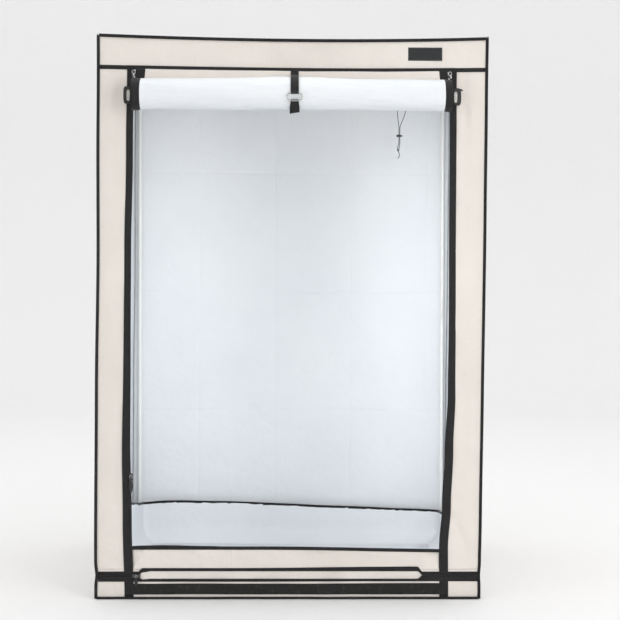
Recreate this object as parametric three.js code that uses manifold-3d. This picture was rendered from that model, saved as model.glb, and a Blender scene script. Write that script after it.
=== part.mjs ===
// A free-standing fabric grow tent: a pole frame with three-way corner connectors, a fabric shell,
// a zipped front door rolled up under the header, a flood tray and a roof duct sleeve.
// Millimetres, +Z up, front at -Y, origin on the floor under the middle of the tent.

import * as THREE from 'three';
import { mergeVertices } from 'three/addons/utils/BufferGeometryUtils.js';
import Module from 'manifold-3d';

const wasm = await Module();
wasm.setup();

// ---- driving dimensions -------------------------------------------------------------------------

const WIDTH = 1212;             // over the fabric, side to side
const DEPTH = 912;              // over the fabric, front to back
const HEIGHT = 1800;            // floor to roof
const CLOTH = 2;                // coated fabric with its seam allowance
const GAP = 0.3;                // clearance kept between touching pieces
const TRIM = 1.5;               // tapes, labels and straps sewn on the fabric

const POLE_R = 8;               // 16 mm tube
const POLE_BORE_R = 6.5;
const SPIGOT_R = 6.1;           // reduced end that plugs into the next pole
const SPIGOT_BORE_R = 4.6;
const SPIGOT_LENGTH = 40;
const SOCKET_R = 11;            // corner connector's sockets
const SOCKET_BORE_R = 8.45;
const SOCKET_LENGTH = 48;
const SOCKET_STOP = 14;         // from the connector's centre to the end of its bore
const ROUND_SIDES = 16;

const HEADER_BOTTOM = 1700;     // front header, down to its bound seam
const DOOR_HALF = 507;          // half the door opening's width
const SILL_BOTTOM = 92;
const SILL_TOP = 160;
const TAPE_WIDTH = 24;          // door zip tape
const BASE_ZIP_BOTTOM = 54;
const BASE_ZIP_TOP = 97;

const ROLL_CENTRE_Y = -514;     // rolled-up door
const ROLL_CENTRE_Z = 1616;
const ROLL_HALF_DEPTH = 50;
const ROLL_HALF_HEIGHT = 56;
const ROLL_HALF_LENGTH = 514;
const STRAP_X = 6;              // centre strap

const TRAY_HEIGHT = 155;
const TRAY_WALL = 2.5;

const SLEEVE_X = 417;           // roof duct sleeve
const SLEEVE_Y = 300;
const SLEEVE_TOP_R = 76;
const SLEEVE_MOUTH_R = 20;
const SLEEVE_BOTTOM = 1690;

const CORD_R = 1.25;            // sleeve drawstring
const CORD_STEPS_PER_MM = 1 / 6;

// ---- sizes worked out from them -----------------------------------------------------------------

const SIDE = WIDTH / 2;
const FRONT = -DEPTH / 2;
const BACK = DEPTH / 2;
const ROOF_UNDER = HEIGHT - CLOTH;
const POLE_X = SIDE - CLOTH - 1 - SOCKET_R;
const POLE_Y = BACK - CLOTH - 1 - SOCKET_R;
const POLE_LOW = CLOTH + GAP + SOCKET_R;
const POLE_TOP = ROOF_UNDER - 1 - SOCKET_R;
const POLE_END = SOCKET_STOP + GAP;             // a pole stops this far short of the corner
const TRIM_BACK = FRONT - GAP;                  // back face of what is sewn on the front
const TRIM_FRONT = TRIM_BACK - TRIM;
const HARDWARE_BACK = TRIM_FRONT - GAP;         // back face of the sliders on the tapes

// ---- materials ----------------------------------------------------------------------------------

const cream = () => new THREE.MeshStandardMaterial({ color: 0xe8e0d8, roughness: 0.8 });
const lining = () => new THREE.MeshStandardMaterial({ color: 0xd4dade, roughness: 0.55 });
const black = () => new THREE.MeshStandardMaterial({ color: 0x232120, roughness: 0.75 });
const enamel = () => new THREE.MeshStandardMaterial({ color: 0xececea, roughness: 0.4, metalness: 0.2 });
const plastic = () => new THREE.MeshStandardMaterial({ color: 0x2a2a2b, roughness: 0.5 });
const metal = () => new THREE.MeshStandardMaterial({ color: 0xc9c9c7, roughness: 0.25, metalness: 1 });

const tent = new THREE.Group();

function add(name, geometry, material, x = 0, y = 0, z = 0) {
  const mesh = new THREE.Mesh(geometry, material);
  mesh.name = name;
  mesh.position.set(x, y, z);
  tent.add(mesh);
  return mesh;
}

// ---- solids and booleans ------------------------------------------------------------------------

function closed(geometry) {
  const bare = geometry.clone();
  bare.deleteAttribute('normal');
  bare.deleteAttribute('uv');
  const merged = mergeVertices(bare, 1e-4);
  if (signedVolume(merged) < 0) {
    merged.getIndex().array.reverse();
  }
  return merged;
}

function signedVolume(geometry) {
  const position = geometry.getAttribute('position');
  const index = geometry.getIndex();
  const [a, b, c] = [new THREE.Vector3(), new THREE.Vector3(), new THREE.Vector3()];
  let sum = 0;
  for (let i = 0; i < index.count; i += 3) {
    a.fromBufferAttribute(position, index.getX(i));
    b.fromBufferAttribute(position, index.getX(i + 1));
    c.fromBufferAttribute(position, index.getX(i + 2));
    sum += a.dot(b.cross(c));
  }
  return sum / 6;
}

function toManifold(geometry) {
  const merged = closed(geometry);
  return new wasm.Manifold(new wasm.Mesh({
    numProp: 3,
    vertProperties: new Float32Array(merged.getAttribute('position').array),
    triVerts: new Uint32Array(merged.getIndex().array),
  }));
}

function fromManifold(solid) {
  const { vertProperties, triVerts } = solid.getMesh();
  const geometry = new THREE.BufferGeometry();
  geometry.setAttribute('position', new THREE.BufferAttribute(new Float32Array(vertProperties), 3));
  geometry.setIndex(new THREE.BufferAttribute(new Uint32Array(triVerts), 1));
  return geometry;
}

function joined(...geometries) {
  return fromManifold(geometries.map(toManifold).reduce((whole, piece) => whole.add(piece)));
}

function cut(geometry, ...tools) {
  const whole = toManifold(geometry);
  return fromManifold(tools.map(toManifold).reduce((left, tool) => left.subtract(tool), whole));
}

// A flat outline made into a plate of one thickness, along +Z.
function plateOf(outline, depth, curveSegments = 8) {
  return new THREE.ExtrudeGeometry(outline, { depth, bevelEnabled: false, curveSegments });
}

// A box given by its lowest and highest corners.
function box(x0, y0, z0, x1, y1, z1) {
  return new THREE.BoxGeometry(x1 - x0, y1 - y0, z1 - z0)
    .translate((x0 + x1) / 2, (y0 + y1) / 2, (z0 + z1) / 2);
}

// A solid of revolution about Z. The outline is [radius, height] pairs.
function turned(outline, sides = ROUND_SIDES) {
  const points = outline.map(([r, h]) => new THREE.Vector2(r, h));
  return closed(new THREE.LatheGeometry(points, sides).rotateX(Math.PI / 2));
}

function tube(outer, bore, low, high) {
  return turned([[bore, low], [outer, low], [outer, high], [bore, high], [bore, low]]);
}

function rod(radius, low, high) {
  return turned([[0, low], [radius, low], [radius, high], [0, high]]);
}

// Turns a solid made along +Z so that it lies along X or Y.
const alongX = (geometry) => geometry.rotateY(Math.PI / 2);
const alongY = (geometry) => geometry.rotateX(-Math.PI / 2);

// ---- pole frame ---------------------------------------------------------------------------------

const CORNERS = [
  ['front_left', -1, -1],
  ['front_right', 1, -1],
  ['rear_left', -1, 1],
  ['rear_right', 1, 1],
];

function cornerConnector() {
  const arms = [(g) => g, alongX, alongY];
  const hub = new THREE.SphereGeometry(SOCKET_R, ROUND_SIDES, 8);
  const sockets = arms.map((turn) => turn(rod(SOCKET_R, 0, SOCKET_LENGTH)));
  const bores = arms.map((turn) => turn(rod(SOCKET_BORE_R, SOCKET_STOP, SOCKET_LENGTH + 1)));
  return cut(joined(hub, ...sockets), ...bores);
}

// The same connector stands at all eight corners, its three sockets pointing inwards.
function addConnectors() {
  const levels = [['bottom', POLE_LOW, 1], ['top', POLE_TOP, -1]];
  for (const [level, z, upwards] of levels) {
    for (const [corner, sideX, sideY] of CORNERS) {
      const mesh = add(`${level}_connector_${corner}`, cornerConnector(), plastic());
      mesh.geometry.scale(-sideX, -sideY, upwards);
      if (sideX * sideY * upwards < 0) {
        mesh.geometry.getIndex().array.reverse();
      }
      mesh.position.set(sideX * POLE_X, sideY * POLE_Y, z);
    }
  }
}

function lowerPole() {
  return tube(POLE_R, POLE_BORE_R, POLE_LOW + POLE_END, HEIGHT / 2);
}

function upperPole() {
  const shoulder = HEIGHT / 2 + GAP;
  const top = POLE_TOP - POLE_END;
  return turned([
    [SPIGOT_BORE_R, shoulder - SPIGOT_LENGTH],
    [SPIGOT_R, shoulder - SPIGOT_LENGTH],
    [SPIGOT_R, shoulder],
    [POLE_R, shoulder],
    [POLE_R, top],
    [POLE_BORE_R, top],
    [POLE_BORE_R, shoulder + SPIGOT_LENGTH / 4],
    [SPIGOT_BORE_R, shoulder + SPIGOT_LENGTH / 8],
    [SPIGOT_BORE_R, shoulder - SPIGOT_LENGTH],
  ]);
}

function addUprights() {
  for (const [corner, sideX, sideY] of CORNERS) {
    add(`lower_pole_${corner}`, lowerPole(), enamel(), sideX * POLE_X, sideY * POLE_Y);
    add(`upper_pole_${corner}`, upperPole(), enamel(), sideX * POLE_X, sideY * POLE_Y);
  }
}

function addRails() {
  const halfX = POLE_X - POLE_END;
  const halfY = POLE_Y - POLE_END;
  const levels = [['bottom', POLE_LOW], ['top', POLE_TOP]];
  for (const [level, z] of levels) {
    for (const [end, side] of [['front', -1], ['rear', 1]]) {
      add(`${level}_rail_${end}`, alongX(tube(POLE_R, POLE_BORE_R, -halfX, halfX)), enamel(),
        0, side * POLE_Y, z);
    }
    for (const [end, side] of [['left', -1], ['right', 1]]) {
      add(`${level}_rail_${end}`, alongY(tube(POLE_R, POLE_BORE_R, -halfY, halfY)), enamel(),
        side * POLE_X, 0, z);
    }
  }
}

// A light bar hangs between the side top rails by a hook that goes over each of them.
const HOOK_WIDTH = 10;
const HOOK_METAL = 2.6;
const LIGHT_BAR_Y = 120;

function railHook(side) {
  const inner = POLE_R + GAP;
  const outer = inner + HOOK_METAL;
  const outline = new THREE.Shape();
  outline.absarc(0, 0, outer, 0, Math.PI, false);
  outline.lineTo(-outer, -POLE_R / 2);
  outline.lineTo(-inner, -POLE_R / 2);
  outline.absarc(0, 0, inner, Math.PI, 0, true);
  outline.lineTo(inner, -POLE_R / 2);
  outline.lineTo(outer, -POLE_R / 2);
  outline.closePath();
  const hook = plateOf(outline, HOOK_WIDTH);
  return hook.translate(0, 0, -HOOK_WIDTH / 2).rotateX(Math.PI / 2).translate(side * POLE_X, 0, 0);
}

function lightBar() {
  const reach = POLE_X - POLE_R - GAP - HOOK_METAL / 2;
  return joined(alongX(tube(POLE_R, POLE_BORE_R, -reach, reach)), railHook(-1), railHook(1));
}

function addLightBars() {
  add('front_light_bar', lightBar(), enamel(), 0, -LIGHT_BAR_Y, POLE_TOP);
  add('rear_light_bar', lightBar(), enamel(), 0, LIGHT_BAR_Y, POLE_TOP);
}

// ---- fabric shell -------------------------------------------------------------------------------

function roofPanel() {
  const outline = new THREE.Shape();
  outline.moveTo(-SIDE, FRONT);
  outline.lineTo(SIDE, FRONT);
  outline.lineTo(SIDE, BACK);
  outline.lineTo(-SIDE, BACK);
  outline.closePath();
  const hole = new THREE.Path();
  hole.absarc(SLEEVE_X, SLEEVE_Y, SLEEVE_TOP_R - CLOTH, 0, Math.PI * 2, true);
  outline.holes.push(hole);
  return plateOf(outline, CLOTH, 24);
}

function addShell() {
  const wallLow = CLOTH + GAP;
  const wallTop = ROOF_UNDER - GAP;
  const sideReach = BACK - CLOTH - GAP;
  const frontInner = FRONT + CLOTH;
  add('ground_sheet', box(-SIDE, FRONT, 0, SIDE, BACK, CLOTH), black());
  add('roof', roofPanel(), cream(), 0, 0, ROOF_UNDER);
  add('rear_wall', box(-SIDE, BACK - CLOTH, wallLow, SIDE, BACK, wallTop), cream());
  add('left_wall', box(-SIDE, -sideReach, wallLow, -SIDE + CLOTH, sideReach, wallTop), cream());
  add('right_wall', box(SIDE - CLOTH, -sideReach, wallLow, SIDE, sideReach, wallTop), cream());
  add('front_header', box(-SIDE, FRONT, HEADER_BOTTOM, SIDE, frontInner, wallTop), cream());
  const stileTop = HEADER_BOTTOM - GAP;
  const stileLow = SILL_BOTTOM + GAP;
  add('left_stile', box(-SIDE, FRONT, stileLow, -DOOR_HALF, frontInner, stileTop), cream());
  add('right_stile', box(DOOR_HALF, FRONT, stileLow, SIDE, frontInner, stileTop), cream());
  const sillReach = DOOR_HALF - GAP;
  add('sill_panel', box(-sillReach, FRONT, stileLow, sillReach, frontInner, SILL_TOP), cream());
  add('base_panel', box(-SIDE, FRONT, wallLow, SIDE, frontInner, SILL_BOTTOM), cream());
}

// ---- tapes and trim sewn on the front -----------------------------------------------------------

function sewnOn(x0, z0, x1, z1) {
  return box(x0, TRIM_FRONT, z0, x1, TRIM_BACK, z1);
}

// The base zip is closed at both corners and open across the door, where its two tapes part.
function baseZip() {
  const openLeft = -470;
  const openRight = 425;
  const upperTape = 11;
  const lowerTape = 10;
  const window = box(openLeft, TRIM_FRONT - 1, BASE_ZIP_BOTTOM + lowerTape,
    openRight, TRIM_BACK + 1, BASE_ZIP_TOP - upperTape);
  return cut(sewnOn(-SIDE, BASE_ZIP_BOTTOM, SIDE, BASE_ZIP_TOP), window);
}

const HOOK_STRIP = { left: -503, right: 472, low: 14, high: 49 };
const LABEL = { left: 371, right: 480, low: 1723, high: 1764 };

function addTapes() {
  const tapeLow = BASE_ZIP_TOP + GAP;
  const tapeInner = DOOR_HALF - 1;
  const tapeOuter = tapeInner + TAPE_WIDTH;
  add('left_door_zip', sewnOn(-tapeOuter, tapeLow, -tapeInner, HEADER_BOTTOM - 3), black());
  add('right_door_zip', sewnOn(tapeInner, tapeLow, tapeOuter, HEADER_BOTTOM - 3), black());
  add('base_zip', baseZip(), black());
  for (const [name, patch] of [['hook_loop_strip', HOOK_STRIP], ['label_patch', LABEL]]) {
    add(name, sewnOn(patch.left, patch.low, patch.right, patch.high), black());
  }
}

// ---- zip sliders and their pulls ----------------------------------------------------------------

const SLIDER_THICK = 6;
const PULL_THICK = 1.6;
const PULL_BACK = HARDWARE_BACK - SLIDER_THICK - GAP;

// A slider is a plate, wide at its throat and narrow at its heel, seen from the front.
function slider(width, length) {
  const outline = new THREE.Shape();
  outline.moveTo(-width * 0.32, -length / 2);
  outline.lineTo(width * 0.32, -length / 2);
  outline.lineTo(width / 2, length * 0.15);
  outline.lineTo(width / 2, length / 2);
  outline.lineTo(-width / 2, length / 2);
  outline.lineTo(-width / 2, length * 0.15);
  outline.closePath();
  const plate = plateOf(outline, SLIDER_THICK);
  return plate.rotateX(Math.PI / 2).translate(0, HARDWARE_BACK, 0);
}

// A pull hangs from the origin: a long plate with a round eye at its lower end.
function pull(width, length) {
  const eyeR = width / 2;
  const outline = new THREE.Shape();
  outline.moveTo(-width * 0.28, 0);
  outline.lineTo(-eyeR, -length + eyeR);
  outline.absarc(0, -length + eyeR, eyeR, Math.PI, 2 * Math.PI, false);
  outline.lineTo(width * 0.28, 0);
  outline.closePath();
  const eye = new THREE.Path();
  eye.absarc(0, -length + eyeR, eyeR * 0.5, 0, 2 * Math.PI, true);
  outline.holes.push(eye);
  const plate = plateOf(outline, PULL_THICK);
  return plate.rotateX(Math.PI / 2).translate(0, PULL_BACK, 0);
}

const UPPER_SLIDER_X = 505;
const UPPER_SLIDER_Z = 1681;
const LOWER_SLIDER_X = -511;
const LOWER_SLIDER_Z = 392;
const BASE_SLIDER_X = -494;
const BASE_SLIDER_Z = 74;

function addZipHardware() {
  for (const [side, sign] of [['left', -1], ['right', 1]]) {
    add(`upper_${side}_slider`, slider(13, 22), metal(), sign * UPPER_SLIDER_X, 0, UPPER_SLIDER_Z);
    add(`upper_${side}_pull`, pull(9, 30), metal(), sign * UPPER_SLIDER_X, 0, UPPER_SLIDER_Z + 6);
  }
  add('left_zip_slider', slider(14, 24), metal(), LOWER_SLIDER_X, 0, LOWER_SLIDER_Z);
  add('left_zip_pull', pull(12, 62), plastic(), LOWER_SLIDER_X, 0, LOWER_SLIDER_Z + 7);
  add('base_zip_slider', slider(14, 26).rotateY(Math.PI / 2), metal(), BASE_SLIDER_X, 0, BASE_SLIDER_Z);
  add('base_zip_pull', pull(10, 36), plastic(), BASE_SLIDER_X, 0, BASE_SLIDER_Z + 4);
}

// ---- rolled-up door -----------------------------------------------------------------------------

// Outlines across the door are drawn as (y, z) and pushed out along X between two places.
function acrossDoor(outline, x0, x1) {
  const body = plateOf(outline, x1 - x0, 14);
  return body.rotateX(Math.PI / 2).rotateZ(Math.PI / 2).translate(x0, 0, 0);
}

function rolledDoor() {
  const [centreY, centreZ] = [ROLL_CENTRE_Y, ROLL_CENTRE_Z];
  const roll = new THREE.Shape();
  roll.absellipse(centreY, centreZ, ROLL_HALF_DEPTH, ROLL_HALF_HEIGHT, 0, 2 * Math.PI, false, 0);
  const strip = new THREE.Shape();
  strip.moveTo(TRIM_BACK, HEADER_BOTTOM - 3);
  strip.lineTo(TRIM_BACK - CLOTH, HEADER_BOTTOM - 3);
  strip.lineTo(ROLL_CENTRE_Y + ROLL_HALF_DEPTH * 0.92, ROLL_CENTRE_Z);
  strip.lineTo(ROLL_CENTRE_Y + ROLL_HALF_DEPTH * 0.98, ROLL_CENTRE_Z);
  strip.closePath();
  const stripReach = UPPER_SLIDER_X - 8;
  return joined(
    acrossDoor(roll, -ROLL_HALF_LENGTH, ROLL_HALF_LENGTH),
    acrossDoor(strip, -stripReach, stripReach),
  );
}

// A strap lies round the roll between two angles, measured from straight behind the roll.
function strapRoundRoll(fromAngle, toAngle, width, lead) {
  const inner = GAP + 0.5;
  const outer = inner + TRIM;
  const [a, b] = [ROLL_HALF_DEPTH, ROLL_HALF_HEIGHT];
  const outline = new THREE.Shape();
  if (lead) {
    outline.moveTo(lead[0], lead[1]);
    outline.lineTo(lead[0] - TRIM, lead[1]);
  }
  outline.absellipse(ROLL_CENTRE_Y, ROLL_CENTRE_Z, a + outer, b + outer, fromAngle, toAngle, false, 0);
  outline.absellipse(ROLL_CENTRE_Y, ROLL_CENTRE_Z, a + inner, b + inner, toAngle, fromAngle, true, 0);
  outline.closePath();
  return acrossDoor(outline, STRAP_X - width / 2, STRAP_X + width / 2);
}

const RING_WIRE_R = 2;
const RING_HALF_WIDTH = 23;
const RING_HALF_HEIGHT = 12.5;
const RING_Y = ROLL_CENTRE_Y - ROLL_HALF_DEPTH - 5;
const RING_Z = 1593;

class RingCurve extends THREE.Curve {
  getPoint(t, target = new THREE.Vector3()) {
    const angle = 2 * Math.PI * t;
    return target.set(RING_HALF_WIDTH * Math.cos(angle), 0, RING_HALF_HEIGHT * Math.sin(angle));
  }
}

function strapRing() {
  const wire = new THREE.Shape();
  wire.absarc(0, 0, RING_WIRE_R, 0, 2 * Math.PI, false);
  const bend = { steps: 32, extrudePath: new RingCurve(), curveSegments: 4 };
  return closed(new THREE.ExtrudeGeometry(wire, bend));
}

// An elastic loop beside each end of the roll: an upright oval, sewn down along its inner edge.
const LOOP_WIDTH = 26;
const LOOP_HEIGHT = 56;
const LOOP_BAND = 7;
const LOOP_THICK = 3;
const LOOP_INNER_X = 515;
const LOOP_Z = 1612;

function holdLoop() {
  const oval = (inset) => {
    const r = LOOP_WIDTH / 2 - inset;
    const straight = (LOOP_HEIGHT - LOOP_WIDTH) / 2;
    const path = new THREE.Shape();
    path.absarc(0, straight, r, 0, Math.PI, false);
    path.absarc(0, -straight, r, Math.PI, 2 * Math.PI, false);
    path.closePath();
    return path;
  };
  const outline = oval(0);
  outline.holes.push(oval(LOOP_BAND));
  const band = plateOf(outline, LOOP_THICK, 10);
  return band.rotateX(Math.PI / 2).translate(0, HARDWARE_BACK, 0);
}

function addDoor() {
  add('rolled_door', rolledDoor(), lining());
  const header = [TRIM_FRONT - CLOTH, HEADER_BOTTOM - 3];
  add('centre_strap', strapRoundRoll(Math.PI * 0.42, Math.PI * 1.0, 25, header), black());
  add('strap_tail', strapRoundRoll(Math.PI * 1.16, Math.PI * 1.42, 30, null), black());
  add('strap_ring', strapRing(), metal(), STRAP_X, RING_Y, RING_Z);
  const loopX = LOOP_INNER_X + LOOP_WIDTH / 2;
  add('left_hold_loop', holdLoop(), black(), -loopX, 0, LOOP_Z);
  add('right_hold_loop', holdLoop(), black(), loopX, 0, LOOP_Z);
}

// ---- flood tray ---------------------------------------------------------------------------------

function floodTray() {
  const halfX = POLE_X - SOCKET_R - 3;
  const halfY = POLE_Y - SOCKET_R - 3;
  const low = CLOTH + GAP;
  const inside = box(-halfX + TRAY_WALL, -halfY + TRAY_WALL, low + CLOTH,
    halfX - TRAY_WALL, halfY - TRAY_WALL, TRAY_HEIGHT + 1);
  return cut(box(-halfX, -halfY, low, halfX, halfY, TRAY_HEIGHT), inside);
}

// ---- roof duct sleeve and its drawstring --------------------------------------------------------

// The sleeve hangs inside the roof and is gathered to a small mouth by its drawstring.
function ductSleeve() {
  const top = ROOF_UNDER - GAP;
  const length = top - SLEEVE_BOTTOM;
  const neck = SLEEVE_BOTTOM + length * 0.16;
  return turned([
    [SLEEVE_TOP_R, top],
    [SLEEVE_TOP_R - CLOTH, top],
    [SLEEVE_TOP_R * 0.78 - CLOTH, SLEEVE_BOTTOM + length * 0.55],
    [SLEEVE_MOUTH_R * 0.8 - CLOTH, neck],
    [SLEEVE_MOUTH_R - CLOTH, SLEEVE_BOTTOM],
    [SLEEVE_MOUTH_R, SLEEVE_BOTTOM],
    [SLEEVE_MOUTH_R * 0.8, neck],
    [SLEEVE_TOP_R * 0.78, SLEEVE_BOTTOM + length * 0.55],
    [SLEEVE_TOP_R, top],
  ], 24);
}

// Both ends of the drawstring run down through the cord lock. The left one goes on past the knot.
const LEFT_CORD = [
  [399.5, 300, 1689.5],
  [400.4, 300, 1676],
  [401.9, 300, 1658],
  [403.7, 300, 1640],
  [405.6, 300, 1625],
  [407.3, 300, 1611],
  [407.3, 300, 1597],
  [407.3, 300, 1579],
  [407.3, 300, 1562],
  [406.2, 300, 1549],
  [403.4, 300, 1538],
  [402.8, 300, 1529],
  [406, 300, 1518.5],
  [409.6, 300, 1509],
  [407.6, 300, 1499],
  [402.7, 300, 1493.5],
];

const RIGHT_CORD = [
  [434.5, 300, 1689.5],
  [433.4, 300, 1680],
  [431.4, 300, 1668],
  [427.8, 300, 1656],
  [423.4, 300, 1644],
  [418.8, 300, 1633],
  [414.4, 300, 1622],
  [411, 300, 1611],
  [410.7, 300, 1597],
  [410.7, 300, 1579],
  [410.7, 300, 1562],
  [410.6, 300, 1552],
  [410, 300, 1543],
  [408.4, 300, 1534],
  [406.4, 300, 1526.5],
];

const LOCK_X = 409;             // cord lock, a short barrel lying across the two strands
const LOCK_Z = 1579;
const LOCK_R = 4.8;
const LOCK_LENGTH = 22;

function cord(route) {
  const path = new THREE.CatmullRomCurve3(route.map(([x, y, z]) => new THREE.Vector3(x, y, z)));
  const section = new THREE.Shape();
  section.absarc(0, 0, CORD_R, 0, 2 * Math.PI, false);
  const steps = Math.ceil(path.getLength() * CORD_STEPS_PER_MM);
  return new THREE.ExtrudeGeometry(section, { steps, extrudePath: path, curveSegments: 4 });
}

function cordLock() {
  const half = LOCK_LENGTH / 2;
  const barrel = alongX(turned([
    [0, -half],
    [LOCK_R * 0.8, -half],
    [LOCK_R, -half * 0.8],
    [LOCK_R, half * 0.4],
    [LOCK_R * 0.7, half * 0.5],
    [LOCK_R * 0.7, half],
    [0, half],
  ]));
  return cut(barrel, box(-3.5, -1.8, -LOCK_R - 1, 3.5, 1.8, LOCK_R + 1));
}

function addSleeve() {
  add('duct_sleeve', ductSleeve(), cream(), SLEEVE_X, SLEEVE_Y, 0);
  add('drawstring_left', cord(LEFT_CORD), black());
  add('drawstring_right', cord(RIGHT_CORD), black());
  add('cord_lock', cordLock(), plastic(), LOCK_X, SLEEVE_Y, LOCK_Z);
}

// ---- the whole tent -----------------------------------------------------------------------------

addConnectors();
addUprights();
addRails();
addLightBars();
addShell();
addTapes();
addZipHardware();
addDoor();
add('flood_tray', floodTray(), lining());
addSleeve();

export default tent;
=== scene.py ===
"""Looks of a fabric grow tent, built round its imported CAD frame. Metres, +Z up, front at -Y."""
from math import copysign, cos, dist, exp, hypot, pi, radians, sin, sqrt

import bmesh
import bpy
import numpy as np
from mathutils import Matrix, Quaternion, Vector, noise


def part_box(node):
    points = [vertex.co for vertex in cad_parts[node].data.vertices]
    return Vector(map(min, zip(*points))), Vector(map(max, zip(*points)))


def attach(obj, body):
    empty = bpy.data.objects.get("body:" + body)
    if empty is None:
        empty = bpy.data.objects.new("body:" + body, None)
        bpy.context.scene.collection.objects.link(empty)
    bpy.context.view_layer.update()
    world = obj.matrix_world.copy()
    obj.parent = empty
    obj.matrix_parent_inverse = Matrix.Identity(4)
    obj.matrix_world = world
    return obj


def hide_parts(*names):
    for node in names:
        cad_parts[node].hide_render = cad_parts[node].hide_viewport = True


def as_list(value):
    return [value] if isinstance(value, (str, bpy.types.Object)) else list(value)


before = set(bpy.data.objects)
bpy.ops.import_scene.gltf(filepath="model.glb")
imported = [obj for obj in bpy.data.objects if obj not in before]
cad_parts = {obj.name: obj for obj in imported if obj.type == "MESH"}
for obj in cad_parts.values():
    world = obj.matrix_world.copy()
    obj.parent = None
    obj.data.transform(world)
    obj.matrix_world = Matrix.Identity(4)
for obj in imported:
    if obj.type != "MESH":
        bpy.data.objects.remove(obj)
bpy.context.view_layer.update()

MM = 0.001
SHELL = "shell_and_frame"
CLOTH = 0.8 * MM

# ---- places read from the frame -----------------------------------------------------------------

_low, _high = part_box("roof")
SIDE, FRONT, BACK, TOP = _high.x, _low.y, _high.y, _high.z
HEADER_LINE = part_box("front_header")[0].z
DOOR_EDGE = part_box("right_stile")[0].x
SILL_LOW, SILL_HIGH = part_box("sill_panel")[0].z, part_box("sill_panel")[1].z
ZIP_LOW, ZIP_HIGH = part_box("base_zip")[0].z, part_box("base_zip")[1].z
ROLL_LOW, ROLL_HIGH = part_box("rolled_door")
ROLL_HALF_DEPTH = 0.050
ROLL_CENTRE_Y = ROLL_LOW.y + ROLL_HALF_DEPTH
ROLL_HALF_HEIGHT = 0.050
ROLL_CENTRE_Z = ROLL_LOW.z + 0.0485


# ---- small helpers ------------------------------------------------------------------------------

def smooth(t):
    """0 below 0, 1 above 1, and an easy rise between."""
    t = min(max(t, 0.0), 1.0)
    return t * t * (3 - 2 * t)


def rough(x, y, scale, seed):
    """Soft noise from about -1 to 1, with bumps about scale across."""
    return noise.noise(Vector((x / scale, y / scale, seed * 7.31)))


def crinkle(x, y, scale, seed):
    """Noise from 0 to 1 with sharp crests, like creases in coated cloth."""
    bent = x + 0.4 * scale * rough(x, y, scale * 1.7, seed + 3)
    return (1 - min(1.0, abs(rough(bent, y, scale, seed)) * 1.6)) ** 4


def stations(length, step, marks=()):
    """Places from 0 to length about a step apart, with extra ones close round each mark."""
    count = max(2, round(length / step))
    places = {round(i * length / count, 6) for i in range(count + 1)}
    for mark in marks:
        for offset in (-9, -5, -2, 0, 2, 5, 9):
            place = mark + offset * MM
            if 0 < place < length:
                places.add(round(place, 6))
    places = sorted(places)
    kept = [places[0]]
    for place in places[1:]:
        if place - kept[-1] > 0.9 * MM:
            kept.append(place)
    kept[-1] = round(length, 6)
    return kept


def add_object(name, data):
    """Puts a mesh, curve, light or camera in the scene."""
    made = bpy.data.objects.new(name, data)
    bpy.context.scene.collection.objects.link(made)
    return made


def mesh_object(name, points, faces, uvs, materials, picks=None):
    """A smooth mesh with a cloth map. picks gives each face's material, or all take the first."""
    mesh = bpy.data.meshes.new(name)
    mesh.from_pydata([tuple(p) for p in points], [], faces)
    corners = np.empty(len(mesh.loops), np.int32)
    mesh.loops.foreach_get("vertex_index", corners)
    layer = mesh.uv_layers.new(name="cloth")
    layer.data.foreach_set("uv", np.asarray(uvs, np.float32)[corners].ravel())
    for material in materials:
        mesh.materials.append(material)
    if picks:
        mesh.polygons.foreach_set("material_index", picks)
    mesh.polygons.foreach_set("use_smooth", [True] * len(mesh.polygons))
    mesh.update()
    return add_object(name, mesh)


def grid_faces(columns, rows, closed=False):
    """Quads between rows of columns points. A closed grid's last column joins its first."""
    faces = []
    for low in range(0, (rows - 1) * columns, columns):
        high = low + columns
        for c in range(columns if closed else columns - 1):
            d = (c + 1) % columns
            faces.append((low + c, low + d, high + d, high + c))
    return faces


def solidify(piece, thickness, inner_offset=0):
    """Gives a sheet its thickness, inwards. Its back takes the material inner_offset further on."""
    thick = piece.modifiers.new("thickness", "SOLIDIFY")
    thick.thickness = thickness
    thick.offset = -1
    thick.material_offset = inner_offset
    return piece


def cloth(name, us, vs, place, outer, inner=None, pick=None, thickness=CLOTH):
    """A sheet with a point at each u, v in metres. Its outer side faces along du x dv."""
    points = [place(u, v) for v in vs for u in us]
    uvs = [(u, v) for v in vs for u in us]
    faces = grid_faces(len(us), len(vs))
    picks = None
    if pick:
        picks = [pick((us[c] + us[c + 1]) / 2, (vs[r] + vs[r + 1]) / 2)
                 for r in range(len(vs) - 1) for c in range(len(us) - 1)]
    outer = outer if isinstance(outer, list) else [outer]
    inner = inner if isinstance(inner, list) else [inner or outer[0]]
    piece = mesh_object(name, points, faces, uvs, [*outer, *inner], picks)
    return solidify(piece, thickness, len(outer))


def eased(value, power):
    """value to a power, keeping its sign."""
    return copysign(abs(value) ** power, value)


def oval(cx, cz, half_w, half_h, count=20, power=1.0):
    """An ellipse as pairs, squarer where power is below 1."""
    ring = []
    for k in range(count):
        a = 2 * pi * k / count
        ring.append((cx + half_w * eased(cos(a), power), cz + half_h * eased(sin(a), power)))
    return ring


def flat_section(width, thick, corners=12, squareness=0.45):
    """The outline of a flat tape with rounded edges."""
    return oval(0, 0, width / 2, thick / 2, corners, squareness)


def round_section(radius, sides):
    """The outline of round wire or cord."""
    return oval(0, 0, radius, radius, sides)


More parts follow.
